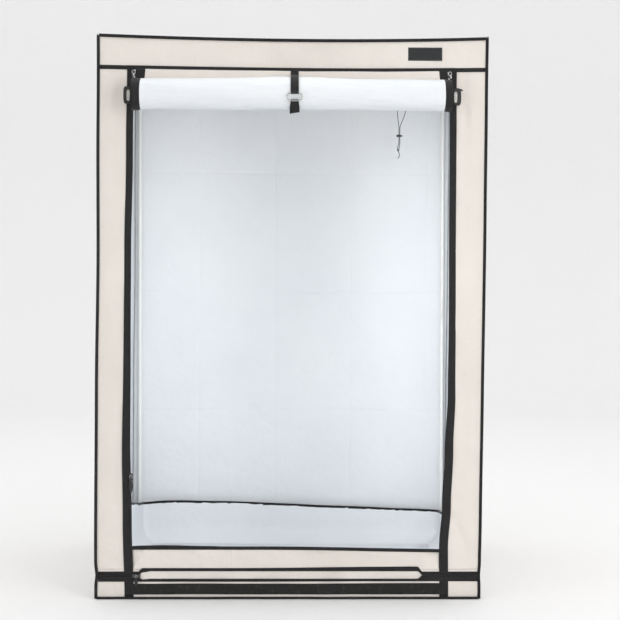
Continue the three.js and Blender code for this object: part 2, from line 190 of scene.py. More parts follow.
def sweep(name, path, section, out, material, closed=False):
    """Pushes a closed section along a path, with the section's first axis lying along out."""
    path = [Vector(p) for p in path]
    count = len(path)
    points, uvs, run = [], [], 0.0
    around = [dist(section[i], section[i - 1]) for i in range(len(section))]
    for i, p in enumerate(path):
        before = path[i - 1] if closed or i else p
        after = path[(i + 1) % count] if closed or i < count - 1 else p
        tangent = (after - before).normalized()
        side = tangent.cross(Vector(out)).normalized()
        first = side.cross(tangent)
        if i:
            run += (p - path[i - 1]).length
        across = 0.0
        for k, (a, b) in enumerate(section):
            across += around[k]
            points.append(p + first * a + side * b)
            uvs.append((run, across))
    size = len(section)
    faces = [tuple(reversed(f)) for f in grid_faces(size, count, closed=True)]
    if closed:
        last = (count - 1) * size
        faces += [(last + (k + 1) % size, last + k, k, (k + 1) % size) for k in range(size)]
    else:
        faces.append(tuple(range(size)))
        faces.append(tuple(reversed(range((count - 1) * size, count * size))))
    return fix_normals(mesh_object(name, points, faces, uvs, [material]))


def fix_normals(piece):
    """Turns every face outwards."""
    work = bmesh.new()
    work.from_mesh(piece.data)
    bmesh.ops.recalc_face_normals(work, faces=work.faces)
    work.to_mesh(piece.data)
    work.free()
    return piece


def extruded(name, rings, low, high, material, bevel):
    """A flat plate in X and Z between two depths, with rounded edges: an outline, then any holes."""
    curve = bpy.data.curves.new(name, "CURVE")
    curve.dimensions = "2D"
    curve.fill_mode = "BOTH"
    for ring in rings:
        spline = curve.splines.new("POLY")
        spline.points.add(len(ring) - 1)
        for point, (x, z) in zip(spline.points, ring):
            point.co = (x, z, 0, 1)
        spline.use_cyclic_u = True
    curve.extrude = (high - low) / 2 - bevel
    curve.bevel_depth = bevel
    curve.bevel_resolution = 2
    holder = add_object(name + "_outline", curve)
    bpy.context.view_layer.update()
    mesh = bpy.data.meshes.new_from_object(holder)
    bpy.data.objects.remove(holder)
    middle = (low + high) / 2
    for vertex in mesh.vertices:
        x, z, depth = vertex.co
        vertex.co = (x, middle - depth, z)
    mesh.materials.clear()
    mesh.materials.append(material)
    mesh.shade_smooth()
    mesh.set_sharp_from_angle(angle=radians(40))
    return add_object(name, mesh)


def merge(name, parts):
    """Joins objects into the first one, keeping their materials."""
    bpy.context.view_layer.update()
    with bpy.context.temp_override(active_object=parts[0], selected_editable_objects=parts,
                                   object=parts[0], selected_objects=parts):
        bpy.ops.object.join()
    parts[0].name = name
    parts[0].data.name = name
    return parts[0]


def settle(piece, body, slot, *nodes):
    """Rides a piece on its body and hides the CAD nodes it stands for. The slot, its finish's name, is not
    used.
    """
    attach(piece, body)
    if nodes:
        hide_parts(*nodes)
    return piece


# ---- materials ----------------------------------------------------------------------------------

def srgb(r, g, b):
    """A screen colour from 0 to 255 as the linear colour that shaders take."""
    def linear(value):
        value /= 255
        return value / 12.92 if value <= 0.04045 else ((value + 0.055) / 1.055) ** 2.4
    return (linear(r), linear(g), linear(b), 1.0)


class Finish:
    """A Principled material, with its nodes added one call at a time."""

    def __init__(self, name, **constants):
        self.material = bpy.data.materials.new(name)
        self.material.use_nodes = True
        self.tree = self.material.node_tree
        self.shader = self.tree.nodes["Principled BSDF"]
        for socket, value in constants.items():
            self.shader.inputs[socket.replace("_", " ")].default_value = value

    def node(self, kind, inputs=None, **settings):
        made = self.tree.nodes.new(kind)
        for key, value in settings.items():
            setattr(made, key, value)
        for key, value in (inputs or {}).items():
            if isinstance(value, bpy.types.NodeSocket):
                self.tree.links.new(value, made.inputs[key])
            else:
                made.inputs[key].default_value = value
        return made

    def to(self, socket, value):
        self.tree.links.new(value, self.shader.inputs[socket])

    def math(self, operation, first, second):
        return self.node("ShaderNodeMath", {0: first, 1: second}, operation=operation).outputs[0]

    def uv(self):
        return self.node("ShaderNodeTexCoord").outputs["UV"]

    def place(self):
        return self.node("ShaderNodeTexCoord").outputs["Object"]

    def stretched(self, where, scale):
        return self.node("ShaderNodeMapping", {"Vector": where, "Scale": scale}).outputs[0]

    def noise(self, where, scale, detail, rough=0.55):
        inputs = {"Vector": where, "Scale": scale, "Detail": detail, "Roughness": rough}
        return self.node("ShaderNodeTexNoise", inputs, noise_type="FBM").outputs["Fac"]

    def bands(self, where, pitch, direction):
        """Waves from 0 to 1, one each pitch."""
        inputs = {"Vector": where, "Scale": pi / (10 * pitch), "Distortion": 0.0, "Detail": 0.0}
        made = self.node("ShaderNodeTexWave", inputs, wave_type="BANDS", bands_direction=direction)
        return made.outputs["Fac"]

    def remap(self, value, low, high, to_low, to_high):
        inputs = {"Value": value, "From Min": low, "From Max": high, "To Min": to_low, "To Max": to_high}
        return self.node("ShaderNodeMapRange", inputs).outputs["Result"]

    def tint(self, fac, colour_a, colour_b):
        return self.node("ShaderNodeMix", {0: fac, 6: colour_a, 7: colour_b}, data_type="RGBA").outputs[2]

    def colour(self, fac, colour_a, colour_b):
        self.to("Base Color", self.tint(fac, colour_a, colour_b))

    def relief(self, *heights):
        self.to("Normal", self.bump(*heights))

    def bump(self, height, depth, under=None, strength=1.0):
        inputs = {"Height": height, "Distance": depth, "Strength": strength}
        if under:
            inputs["Normal"] = under
        return self.node("ShaderNodeBump", inputs).outputs["Normal"]


def scaled(colour, factor, more=0.0):
    """A colour made lighter or darker."""
    return tuple(min(1.0, c * factor + more) for c in colour[:3]) + (1.0,)


def weave_height(finish, where, pitch):
    """Plain weave: over-and-under threads, from 0 to 1."""
    warp = finish.bands(where, pitch, "X")
    weft = finish.bands(where, pitch, "Y")
    over = finish.node("ShaderNodeTexChecker", {"Vector": where, "Scale": 1 / pitch}).outputs["Fac"]
    return finish.node("ShaderNodeMix", {0: over, 2: warp, 3: weft}, data_type="FLOAT").outputs[0]


def coated_cloth(name, colour, shade, pitch, roughness, thread_depth, crease_depth, sheen=0.0):
    """Woven cloth with a coating: threads, small creases and a cloudy colour."""
    finish = Finish(name, Roughness=roughness, Sheen_Weight=sheen, Specular_IOR_Level=0.35)
    where = finish.uv()
    threads = weave_height(finish, where, pitch)
    clouds = finish.remap(finish.noise(where, 2.3, 4.0), 0.35, 0.65, 0.0, 0.7)
    specks = finish.remap(finish.noise(where, 260.0, 2.0), 0.3, 0.7, 0.0, 0.3)
    base = finish.tint(finish.math("ADD", clouds, specks), colour, shade)
    lines = finish.remap(threads, 0.0, 1.0, 0.0, 0.16)
    finish.colour(lines, base, scaled(shade, 0.55))
    creases = finish.noise(where, 9.0, 5.0, 0.62)
    folds = finish.noise(where, 34.0, 3.0, 0.5)
    height = finish.math("ADD", creases, finish.remap(folds, 0.0, 1.0, 0.0, 0.22))
    soft = finish.bump(height, crease_depth)
    finish.relief(threads, thread_depth, soft, 0.5)
    return finish.material


def woven_tape(name, colour, rib):
    """Narrow woven tape: ribs across it, and lighter fibres that are a painted sheen of light catching
    them.
    """
    finish = Finish(name, Roughness=0.7, Sheen_Weight=0.08, Sheen_Roughness=0.5, Specular_IOR_Level=0.3)
    where = finish.uv()
    ribs = finish.bands(where, rib, "X")
    twill = finish.bands(where, rib * 0.6, "DIAGONAL")
    height = finish.math("ADD", ribs, finish.remap(twill, 0.0, 1.0, 0.0, 0.5))
    cloud = finish.noise(where, 14.0, 3.0)
    # The lighter fibres are painted sheen: light catching the fibre edges, painted into the colour.
    fibres = finish.remap(finish.noise(where, 900.0, 2.0), 0.35, 0.75, 0.0, 1.0)
    dust_and_painted_sheen = finish.math("MULTIPLY", fibres, finish.remap(cloud, 0.3, 0.7, 0.35, 1.0))
    finish.colour(dust_and_painted_sheen, colour, scaled(colour, 1.6))
    finish.relief(height, 0.12 * MM, finish.bump(cloud, 0.6 * MM), 0.7)
    return finish.material


def hook_pile(name):
    """The hook side of hook-and-loop tape: rows of tiny stiff hooks."""
    finish = Finish(name, Roughness=0.7, Sheen_Weight=0.1, Specular_IOR_Level=0.3)
    where = finish.uv()
    cells = finish.node("ShaderNodeTexVoronoi", {"Vector": where, "Scale": 620.0, "Randomness": 0.35})
    rows = finish.remap(finish.bands(where, 2.2 * MM, "Y"), 0.0, 1.0, 0.0, 0.4)
    height = finish.math("ADD", cells.outputs["Distance"], rows)
    dust_and_painted_sheen = finish.remap(finish.noise(where, 60.0, 4.0), 0.55, 0.8, 0.0, 1.0)
    finish.colour(dust_and_painted_sheen, srgb(28, 28, 27), srgb(56, 54, 52))
    finish.relief(height, 0.5 * MM)
    return finish.material


def moulded_plastic(name, colour, gloss):
    """Moulded plastic with a fine grain, a little worn."""
    finish = Finish(name, Roughness=gloss, Specular_IOR_Level=0.5)
    where = finish.place()
    grain = finish.noise(where, 1400.0, 2.0)
    cloud = finish.noise(where, 45.0, 3.0)
    worn = finish.remap(cloud, 0.4, 0.75, 0.0, 0.6)
    finish.colour(worn, colour, scaled(colour, 1.5, 0.01))
    finish.to("Roughness", finish.remap(cloud, 0.3, 0.7, gloss - 0.06, gloss + 0.1))
    finish.relief(grain, 0.05 * MM)
    return finish.material


def pole_enamel(name):
    """White enamelled steel tube, with a faint orange peel and rubbed marks."""
    finish = Finish(name, Metallic=0.0, Coat_Weight=0.5, Coat_Roughness=0.15)
    where = finish.place()
    peel = finish.noise(where, 380.0, 2.0)
    marks = finish.noise(finish.stretched(where, (60, 60, 6)), 1.0, 5.0)
    rubbed = finish.remap(marks, 0.58, 0.8, 0.0, 1.0)
    finish.colour(rubbed, srgb(232, 233, 232), srgb(196, 196, 194))
    finish.to("Roughness", finish.remap(marks, 0.3, 0.7, 0.28, 0.45))
    finish.relief(peel, 0.04 * MM)
    return finish.material


def die_cast(name, colour, gloss):
    """Plated zip metal, brighter where hands rub it."""
    finish = Finish(name, Metallic=1.0)
    where = finish.place()
    cloud = finish.noise(where, 220.0, 4.0)
    scratches = finish.noise(finish.stretched(where, (900, 900, 90)), 1.0, 2.0)
    dull = finish.remap(cloud, 0.35, 0.7, 0.0, 1.0)
    finish.colour(dull, colour, scaled(colour, 0.55))
    finish.to("Roughness", finish.remap(scratches, 0.3, 0.7, gloss, gloss + 0.22))
    finish.relief(scratches, 0.03 * MM)
    return finish.material


def braid(name):
    """Round braided cord: two crossing sets of strands."""
    finish = Finish(name, Roughness=0.6, Sheen_Weight=0.3)
    where = finish.place()
    left = finish.bands(where, 1.3 * MM, "DIAGONAL")
    right = finish.bands(finish.stretched(where, (-1, 1, 1)), 1.3 * MM, "DIAGONAL")
    height = finish.math("MAXIMUM", left, right)
    # The crests of the strands are painted lighter and the grooves between them painted darker: painted
    # shade and highlight following the relief.
    finish.colour(height, srgb(16, 16, 16), srgb(48, 47, 46))
    finish.relief(height, 0.25 * MM)
    return finish.material


def paper_floor(name):
    """Pale studio paper."""
    finish = Finish(name, Roughness=0.9, Specular_IOR_Level=0.1)
    where = finish.place()
    grain = finish.noise(where, 30.0, 4.0)
    finish.colour(grain, srgb(240, 240, 240), srgb(244, 244, 244))
    return finish.material


CREAM = coated_cloth("cream_cloth", srgb(235, 229, 222), srgb(225, 217, 210), 1.1 * MM, roughness=0.72,
                     thread_depth=0.10 * MM, crease_depth=5.0 * MM, sheen=0.15)
LINING = coated_cloth("lining_cloth", srgb(238, 241, 244), srgb(230, 234, 238), 1.4 * MM, roughness=0.5,
                      thread_depth=0.05 * MM, crease_depth=5.0 * MM)
GROUND = coated_cloth("ground_cloth", srgb(52, 51, 50), srgb(40, 39, 38), 1.1 * MM, roughness=0.75,
                      thread_depth=0.10 * MM, crease_depth=4.0 * MM)
TAPE = woven_tape("black_tape", srgb(27, 26, 27), 1.1 * MM)
WEBBING = woven_tape("strap_webbing", srgb(27, 26, 27), 1.7 * MM)
THREAD = woven_tape("sewing_thread", srgb(58, 56, 55), 0.4 * MM)
LABEL = woven_tape("label_cloth", srgb(40, 41, 42), 0.9 * MM)
GREY_THREAD = woven_tape("label_thread", srgb(120, 122, 120), 0.4 * MM)
PILE = hook_pile("hook_pile")
PLASTIC = moulded_plastic("black_plastic", srgb(30, 30, 31), 0.4)
CONNECTOR = moulded_plastic("connector_plastic", srgb(44, 44, 45), 0.5)
ENAMEL = pole_enamel("pole_enamel")
BRIGHT = die_cast("bright_metal", srgb(214, 214, 210), 0.2)
NICKEL = die_cast("nickel_plate", srgb(214, 212, 206), 0.45)
GUN = die_cast("dark_metal", srgb(92, 92, 94), 0.3)
BRAID = braid("braided_cord")


# ---- camera, lights and floor -------------------------------------------------------------------

CAMERA_AWAY = 4.0
CAMERA_HEIGHT = 1.0
FRAME_WIDTH = 1.986       # what the frame spans at the front panel
AIM = Vector((0.060, FRONT, 0.929))
CAMERA_ROLL = radians(0.2)


def add_camera():
    """In front, a little above the middle, aimed off centre and rolled a touch."""
    data = bpy.data.cameras.new("camera")
    data.sensor_width = 36
    data.lens = 36 * CAMERA_AWAY / FRAME_WIDTH
    camera = add_object("camera", data)
    camera.location = (0.0, FRONT - CAMERA_AWAY, CAMERA_HEIGHT)
    camera.rotation_mode = "QUATERNION"
    level_view = (AIM - camera.location).to_track_quat("-Z", "Y")
    camera.rotation_quaternion = level_view @ Quaternion((0, 0, 1), CAMERA_ROLL)
    bpy.context.scene.camera = camera


def soft_light(name, place, target, size, power):
    """A rectangular lamp that faces target."""
    data = bpy.data.lights.new(name, "AREA")
    data.shape = "RECTANGLE"
    data.size, data.size_y = size
    data.energy = power
    lamp = add_object(name, data)
    lamp.location = place
    lamp.rotation_mode = "QUATERNION"
    lamp.rotation_quaternion = (Vector(target) - Vector(place)).to_track_quat("-Z", "Y")


def add_lights():
    """A bright room, a key from the right, and two low lamps inside the tent."""
    world = bpy.data.worlds.new("studio")
    bpy.context.scene.world = world
    world.use_nodes = True
    sky = world.node_tree.nodes["Background"]
    sky.inputs["Color"].default_value = (1, 1, 1, 1)
    sky.inputs["Strength"].default_value = 1.13
    soft_light("key", (2.1, -3.3, 1.6), (0, FRONT, 0.95), (1.6, 1.6), 27)
    soft_light("front_fill", (-0.9, -6.4, 0.6), (0.1, 0, 0.8), (3.0, 1.1), 13)
    soft_light("top", (0, 0, 5.0), (0, 0, 0), (4, 4), 32)
    soft_light("inner_left", (-0.45, -0.10, 0.95), (-0.60, 0.45, 0.95), (0.08, 1.60), 1.5)
    soft_light("inner_right", (0.45, -0.10, 0.85), (0.58, 0.45, 0.80), (0.08, 1.60), 2.6)
    bpy.context.scene.view_settings.view_transform = "Standard"


def add_studio():
    """A pale floor that curves up into a wall all round, far outside the tent."""
    floor_radius, bend, wall = 6.0, 2.5, 8.0
    profile = [(0.01, 0.0), (floor_radius, 0.0)]
    for t in np.linspace(0.1, pi / 2, 10):
        profile.append((floor_radius + bend * sin(t), bend - bend * cos(t)))
    profile.append((floor_radius + bend, wall))
    sides = 72
    points = []
    for radius, height in profile:
        points += [(x, y, height - 1 * MM) for x, y in round_section(radius, sides)]
    faces = grid_faces(sides, len(profile), closed=True)
    faces.append(tuple(reversed(range(sides))))
    uvs = [(x, y) for x, y, z in points]
    mesh_object("studio_floor", points, faces, uvs, [paper_floor("studio_paper")])


add_camera()


# ---- drawstring of the duct sleeve --------------------------------------------------------------

CORD_WIDTH = 2.5 * MM
CORD_Y = 300 * MM
# Routes as x, z in millimetres, from the sleeve's mouth down.
LEFT_CORD = [
    (399.5, 1689.5), (400.4, 1676), (401.9, 1658), (403.7, 1640), (405.6, 1625), (407.3, 1611),
    (407.3, 1597), (407.3, 1579), (407.3, 1562), (406.2, 1549), (403.4, 1538), (402.8, 1529),
    (406, 1518.5), (409.6, 1509), (407.6, 1499), (402.7, 1493.5),
]
RIGHT_CORD = [
    (434.5, 1689.5), (433.4, 1680), (431.4, 1668), (427.8, 1656), (423.4, 1644), (418.8, 1633),
    (414.4, 1622), (411, 1611), (410.7, 1597), (410.7, 1579), (410.7, 1562), (410.6, 1552),
    (410, 1543), (408.4, 1534), (406.4, 1526.5),
]


def catmull(points):
    """A smooth run of points through the given ones."""
    per_span = 6
    points = [Vector(p) for p in points]
    ends = [2 * points[0] - points[1], *points, 2 * points[-1] - points[-2]]
    run = []
    for a, b, c, d in zip(ends, ends[1:], ends[2:], ends[3:]):
        for i in range(per_span):
            t = i / per_span
            run.append(0.5 * (2 * b + (c - a) * t + (2 * a - 5 * b + 4 * c - d) * t ** 2
                              + (3 * b - a - 3 * c + d) * t ** 3))
    return [*run, points[-1]]


def path_length(points):
    return sum((b - a).length for a, b in zip(points, points[1:]))


def cord_curve(name, route):
    """Round cord along a route."""
    curve = bpy.data.curves.new(name, "CURVE")
    curve.dimensions = "3D"
    curve.bevel_depth = CORD_WIDTH / 2
    curve.bevel_resolution = 4
    curve.use_fill_caps = True
    spline = curve.splines.new("POLY")
    spline.points.add(len(route) - 1)
    for point, p in zip(spline.points, route):
        point.co = (*p, 1)
    curve.materials.append(BRAID)
    return add_object(name, curve)


def knot(name, centre, radius):
    """A small tight overhand knot: a trefoil of the same cord."""
    path = []
    for i in range(72):
        t = 2 * pi * i / 72
        path.append(Vector(centre) + radius * Vector((
            (sin(t) + 2 * sin(2 * t)) / 3,
            -sin(3 * t) * 0.55,
            (cos(t) - 2 * cos(2 * t)) / 3)))
    return sweep(name, path, round_section(CORD_WIDTH / 2, 8), (0.3, 1, 0.2), BRAID, closed=True)


def cord_lock():
    """A spring cord lock lying across the two strands: a barrel and its push button."""
    low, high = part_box("cord_lock")
    middle = (low + high) / 2
    body_r = (high.z - low.z) / 2
    half = (high.x - low.x) / 2
    profile = [(-1.0, 0.0), (-1.0, 0.55), (-0.93, 0.85), (-0.85, 0.97), (-0.6, 1.0), (0.25, 1.0),
               (0.36, 0.96), (0.40, 0.85), (0.41, 0.66), (0.88, 0.66), (0.96, 0.58), (1.0, 0.4), (1.0, 0.0)]
    sides = 28
    points = []
    for along, r in profile:
        points += [middle + Vector((along * half, y, z)) for y, z in round_section(r * body_r, sides)]
    faces = grid_faces(sides, len(profile), closed=True)
    uvs = [(p.x, p.z) for p in points]
    return fix_normals(mesh_object("cord_lock_barrel", points, faces, uvs, [PLASTIC]))


def add_drawstring():
    """Two strands through the lock. The right one ends in the knot."""
    knot_centre = (404.4 * MM, CORD_Y, 1524.5 * MM)
    lock = settle(cord_lock(), "cord_lock", "black_plastic", "cord_lock")
    tie = settle(knot("drawstring_knot", knot_centre, 3.4 * MM), SHELL, "drawcord")
    strands = [("left", LEFT_CORD, "bare", [lock, tie]), ("right", RIGHT_CORD, "knot", [])]
    for name, route, far_end, pieces in strands:
        path = catmull([(x * MM, CORD_Y, z * MM) for x, z in route])
        strand = cord_curve(f"drawstring_{name}_strand", path)
        settle(strand, SHELL, "drawcord", f"drawstring_{name}")
        tuple(path[0])
        path_length(path)
        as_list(pieces)


add_drawstring()
add_lights()
add_studio()


# ---- fabric panels of the shell -----------------------------------------------------------------

TOP_SAG = 11 * MM        # the front edge of the roof droops between the corners
LINE_SAG = 5 * MM        # and so does the seam under the header


def droop(x, depth):
    """How far a level edge hangs at x, if it hangs by depth at the middle."""
    return depth * (1 - min(1.0, (x / SIDE) ** 2))


def side_wave(z, seed):
    """How far a corner seam wanders in and out, at height z."""
    return 2.0 * MM * rough(z, 0.3, 0.32, seed) * smooth(z / 0.1) * smooth((TOP - z) / 0.1)


def pinch(z):
    """The corner is drawn in where the base zip ends."""
    return 4 * MM * exp(-((z - 0.078) / 0.022) ** 2)


def left_edge(z):
    """The left side bulges more towards the floor."""
    return -SIDE - 8 * MM - 7 * MM * smooth((1.5 - z) / 1.3) - side_wave(z, 41) + pinch(z)


def right_edge(z):
    """The right side bulges most at the top, and draws in towards the floor."""
    bulge = 16.5 * MM * (max(z - 0.15, 0.0) / (TOP - 0.15)) ** 0.7
    return SIDE - 1.5 * MM + bulge + side_wave(z, 43) - 0.6 * pinch(z)


def widened(x, z):
    """Where the bulging sides carry a point at x, z of the straight shell."""
    return x * left_edge(z) / -SIDE if x < 0 else x * right_edge(z) / SIDE


def packing_relief(size, folds_a, folds_b, seed, slack=4 * MM, crumple=0.9 * MM):
    """How far a panel stands out at a, b: facets between its packing folds, ridges along them, creases."""
    knots_a, knots_b = [0.0, *folds_a, size[0]], [0.0, *folds_b, size[1]]
    heights = {}
    for i in range(len(knots_a)):
        for j in range(len(knots_b)):
            inside = 0 < i < len(knots_a) - 1 and 0 < j < len(knots_b) - 1
            heights[i, j] = slack * 2.6 * rough(i * 1.7 + 0.35, j * 2.3 + 0.6, 1.0, seed) if inside else 0.0

    def facet(a, b):
        i = max(k for k in range(len(knots_a) - 1) if knots_a[k] <= a + 1e-9)
        j = max(k for k in range(len(knots_b) - 1) if knots_b[k] <= b + 1e-9)
        s = (a - knots_a[i]) / (knots_a[i + 1] - knots_a[i])
        t = (b - knots_b[j]) / (knots_b[j + 1] - knots_b[j])
        return ((1 - s) * (1 - t) * heights[i, j] + s * (1 - t) * heights[i + 1, j]
                + (1 - s) * t * heights[i, j + 1] + s * t * heights[i + 1, j + 1])

    def ridges(a, b):
        total = 0.0
        for n, fold in enumerate(folds_a):
            total += ridge(a - fold, 0.55 + 0.9 * rough(b, n, 0.22, seed + 11))
        for n, fold in enumerate(folds_b):
            total += ridge(b - fold, 0.55 + 0.9 * rough(a, n, 0.22, seed + 17))
        return total

    def ridge(distance, strength):
        return 2.0 * MM * max(0.0, strength) * exp(-abs(distance) / (3.5 * MM))

    def relief(a, b):
        held = smooth(min(a, size[0] - a, b, size[1] - b) / 0.05)
        soft = slack * rough(a, b, 0.33, seed) + 0.4 * slack * rough(a, b, 0.14, seed + 5)
        sharp = crumple * (crinkle(a, b, 0.19, seed + 1) + 0.6 * crinkle(b, a, 0.09, seed + 2))
        return facet(a, b) + held * (soft + sharp + ridges(a, b))

    return relief


def flat_panel(name, node, corner, along, up, size, folds_a, folds_b, seed, step=14 * MM, **looks):
    """A whole wall, roof or floor of the shell, seen from outside: cream out, lining in."""
    corner, along, up = Vector(corner), Vector(along), Vector(up)
    outward = along.cross(up)
    relief = packing_relief(size, folds_a, folds_b, seed, **looks)

    def place(a, b):
        p = corner + along * a + up * b + outward * (relief(a, b) - 0.2 * MM)
        p.x = widened(p.x, p.z)
        return p

    outer = GROUND if node == "ground_sheet" else CREAM
    us, vs = stations(size[0], step, folds_a), stations(size[1], step, folds_b)
    piece = cloth(name, us, vs, place, outer, LINING)
    slot = "ground_fabric" if node == "ground_sheet" else "cream_fabric"
    settle(piece, SHELL, slot, node)


def add_walls():
    """The rear, both sides and the ground sheet, each with its packing folds."""
    width, depth, height = 2 * SIDE, BACK - FRONT, TOP - 3 * MM
    thirds = [depth / 3, 2 * depth / 3]
    levels = [0.514, 0.98, 1.447]
    low = 2.5 * MM
    flat_panel("rear_cloth", "rear_wall", (SIDE, BACK, low), (-1, 0, 0), (0, 0, 1), (width, height),
               [SIDE - 0.525, SIDE - 0.230, SIDE + 0.062, SIDE + 0.355], levels, 3, step=9 * MM)
    flat_panel("left_cloth", "left_wall", (-SIDE, BACK, low), (0, -1, 0), (0, 0, 1), (depth, height),
               thirds, levels, 8)
    flat_panel("right_cloth", "right_wall", (SIDE, FRONT, low), (0, 1, 0), (0, 0, 1), (depth, height),
               thirds, levels, 14)
    flat_panel("ground_cloth", "ground_sheet", (-SIDE, BACK, 1.0 * MM), (1, 0, 0), (0, -1, 0),
               (width, depth), [0.3, 0.6, 0.9], thirds, 21, slack=0.0, crumple=0.0)


SLEEVE_LOW, SLEEVE_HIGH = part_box("duct_sleeve")
SLEEVE = (SLEEVE_LOW + SLEEVE_HIGH) / 2
SLEEVE_R = (SLEEVE_HIGH.x - SLEEVE_LOW.x) / 2


def add_roof():
    """The roof is laid round the sleeve's hole: rings near it, then straight lines out to the edges."""
    relief = packing_relief((2 * SIDE, BACK - FRONT), [0.3, 0.6, 0.9], [0.3, 0.6], 31, slack=3 * MM)
    rings = [*np.linspace(0, 0.1, 5)[:-1], *np.linspace(0.1, 1, 60)]
    around = 220
    points, uvs = [], []
    for share in rings:
        for k in range(around):
            angle = 2 * pi * k / around
            c, s = cos(angle), sin(angle)
            reach_x = ((SIDE - SLEEVE.x) if c > 0 else (SIDE + SLEEVE.x)) / max(abs(c), 1e-9)
            reach_y = ((BACK - SLEEVE.y) if s > 0 else (SLEEVE.y - FRONT)) / max(abs(s), 1e-9)
            r = SLEEVE_R + (min(reach_x, reach_y) - SLEEVE_R) * share
            x, y = SLEEVE.x + r * c, SLEEVE.y + r * s
            edge = smooth((r - SLEEVE_R) / 0.06)
            z = TOP - 0.6 * MM + edge * min(relief(x + SIDE, y - FRONT), 5 * MM)
            z -= (TOP - 2 * MM - roof_line(x)) * smooth(1 - (y - FRONT) / 0.035)
            points.append((widened(x, TOP), y, z))
            uvs.append((x, y))
    faces = grid_faces(around, len(rings), closed=True)
    piece = mesh_object("roof_cloth", points, faces, uvs, [CREAM, LINING])
    solidify(piece, CLOTH, 1)
    settle(piece, SHELL, "cream_fabric", "roof")


def room_behind(x, z):
    """How far the front may sink at x, z before it meets the corner poles or the rails."""
    clear = smooth((0.574 - abs(x)) / 0.012) * smooth((1.768 - z) / 0.012) * smooth((z - 0.055) / 0.015)
    return 0.8 * MM + 4.2 * MM * clear


def crease(x, z, start, end, width):
    """1 on the line from start to end, fading to 0 a little way off it."""
    (x0, z0), (x1, z1) = start, end
    dx, dz = x1 - x0, z1 - z0
    t = max(0.0, min(1.0, ((x - x0) * dx + (z - z0) * dz) / (dx * dx + dz * dz)))
    return exp(-(((x - x0 - t * dx) ** 2 + (z - z0 - t * dz) ** 2) / width ** 2))


# Creases pressed into the stiles: where each starts and ends, and how wide it is.
PUCKERS = [((-0.548, 1.645), (-0.562, 1.50), 14 * MM), ((0.548, 1.650), (0.560, 1.53), 12 * MM),
           ((0.520, 0.270), (0.570, 0.150), 9 * MM), ((-0.545, 0.62), (-0.560, 0.30), 10 * MM)]


def corner_fold(u, v, width):
    """The sill's cloth is folded in at both ends, along a line that leans towards the middle."""
    beyond = min(u, width - u) - 3 * MM - 0.6 * v
    return 2.0 * MM * exp(-abs(beyond) / (5 * MM)) - 4.5 * MM * smooth(-beyond / (12 * MM))


def front_panel(name, node, left, right, low, high, seed, folds=(), crumple=1.4 * MM, most=1.2 * MM):
    """A strip of the front between two side edges and two level edges, each a function."""
    width, height = right(high(0)) - left(high(0)), high(0) - low(0)
    step, slack = 8 * MM, 4.5 * MM

    def place(u, v):
        s, t = u / width, v / height
        z = low(0) * (1 - t) + high(0) * t
        x = left(z) * (1 - s) + right(z) * s
        z = low(x) * (1 - t) + high(x) * t
        held = smooth(min(u, width - u, v, height - v) / 0.02)
        creases = crumple * crinkle(x, z, 0.11, seed + 1)
        out = held * (slack * rough(x * 1.6, z * 0.8, 0.13, seed) + creases - 1.6 * MM)
        for fold in folds:
            sharp = exp(-abs(u - fold) / (3.5 * MM))
            out += 1.1 * MM * sharp * max(0.0, 0.5 + rough(z, fold, 0.2, seed))
        for start, end, wide in PUCKERS:
            out -= 4.5 * MM * crease(x, z, start, end, wide) * held
        if node == "sill_panel":
            out += corner_fold(u, v, width)
        return (x, FRONT + 0.2 * MM - max(-room_behind(x, z), min(out, most)), z)

    piece = cloth(name, stations(width, step, folds), stations(height, step), place, CREAM, LINING)
    settle(piece, SHELL, "cream_fabric", node)


def between(z, marks):
    """A smooth line through marks, each a height and a shift in millimetres."""
    for (z0, shift0), (z1, shift1) in zip(marks, marks[1:]):
        if z <= z1:
            return (shift0 + (shift1 - shift0) * smooth((z - z0) / (z1 - z0))) * MM
    return marks[-1][1] * MM


LEFT_ZIP_DRIFT = [(0.0, 2.5), (0.25, -3.5), (0.5, -8.5), (0.8, -8.0), (1.12, -6.0), (1.45, -1.0),
                  (1.7, 2.0)]
RIGHT_ZIP_DRIFT = [(0.0, -26.0), (0.166, -28.0), (0.3, -19.0), (0.48, -11.0), (0.66, -2.5), (0.9, -0.5),
                   (1.7, -0.5)]


def door_wave(z, seed):
    """How far a door zip wanders, between its ends."""
    return 1.5 * MM * rough(z, 1.7, 0.4, seed) * smooth(z / 0.1) * smooth((HEADER_LINE - z) / 0.1)


def left_door_edge(z):
    """Inner edge of the left door zip, bowed outwards half way down."""
    return -DOOR_EDGE + between(z, LEFT_ZIP_DRIFT) + door_wave(z, 45)


def right_door_edge(z):
    """Inner edge of the right door zip, drawn in towards the floor."""
    return DOOR_EDGE + between(z, RIGHT_ZIP_DRIFT) + door_wave(z, 47)


def roof_line(x):
    """Height of the roof's front edge."""
    return TOP - 2 * MM - droop(x, TOP_SAG) - 4 * MM * smooth((x + 0.6) / 1.2)


def header_line(x):
    """Height of the seam under the header."""
    return HEADER_LINE - droop(x, LINE_SAG) - 2.5 * MM * smooth((x + 0.5) / 0.8)


def sill_line(x):
    """Height of the sill's top edge, lower on the right."""
    return SILL_HIGH + 2 * MM - 9 * MM * smooth((x + 0.1) / 0.7)


def level(z):
    """A level edge at height z."""
    return lambda x: z


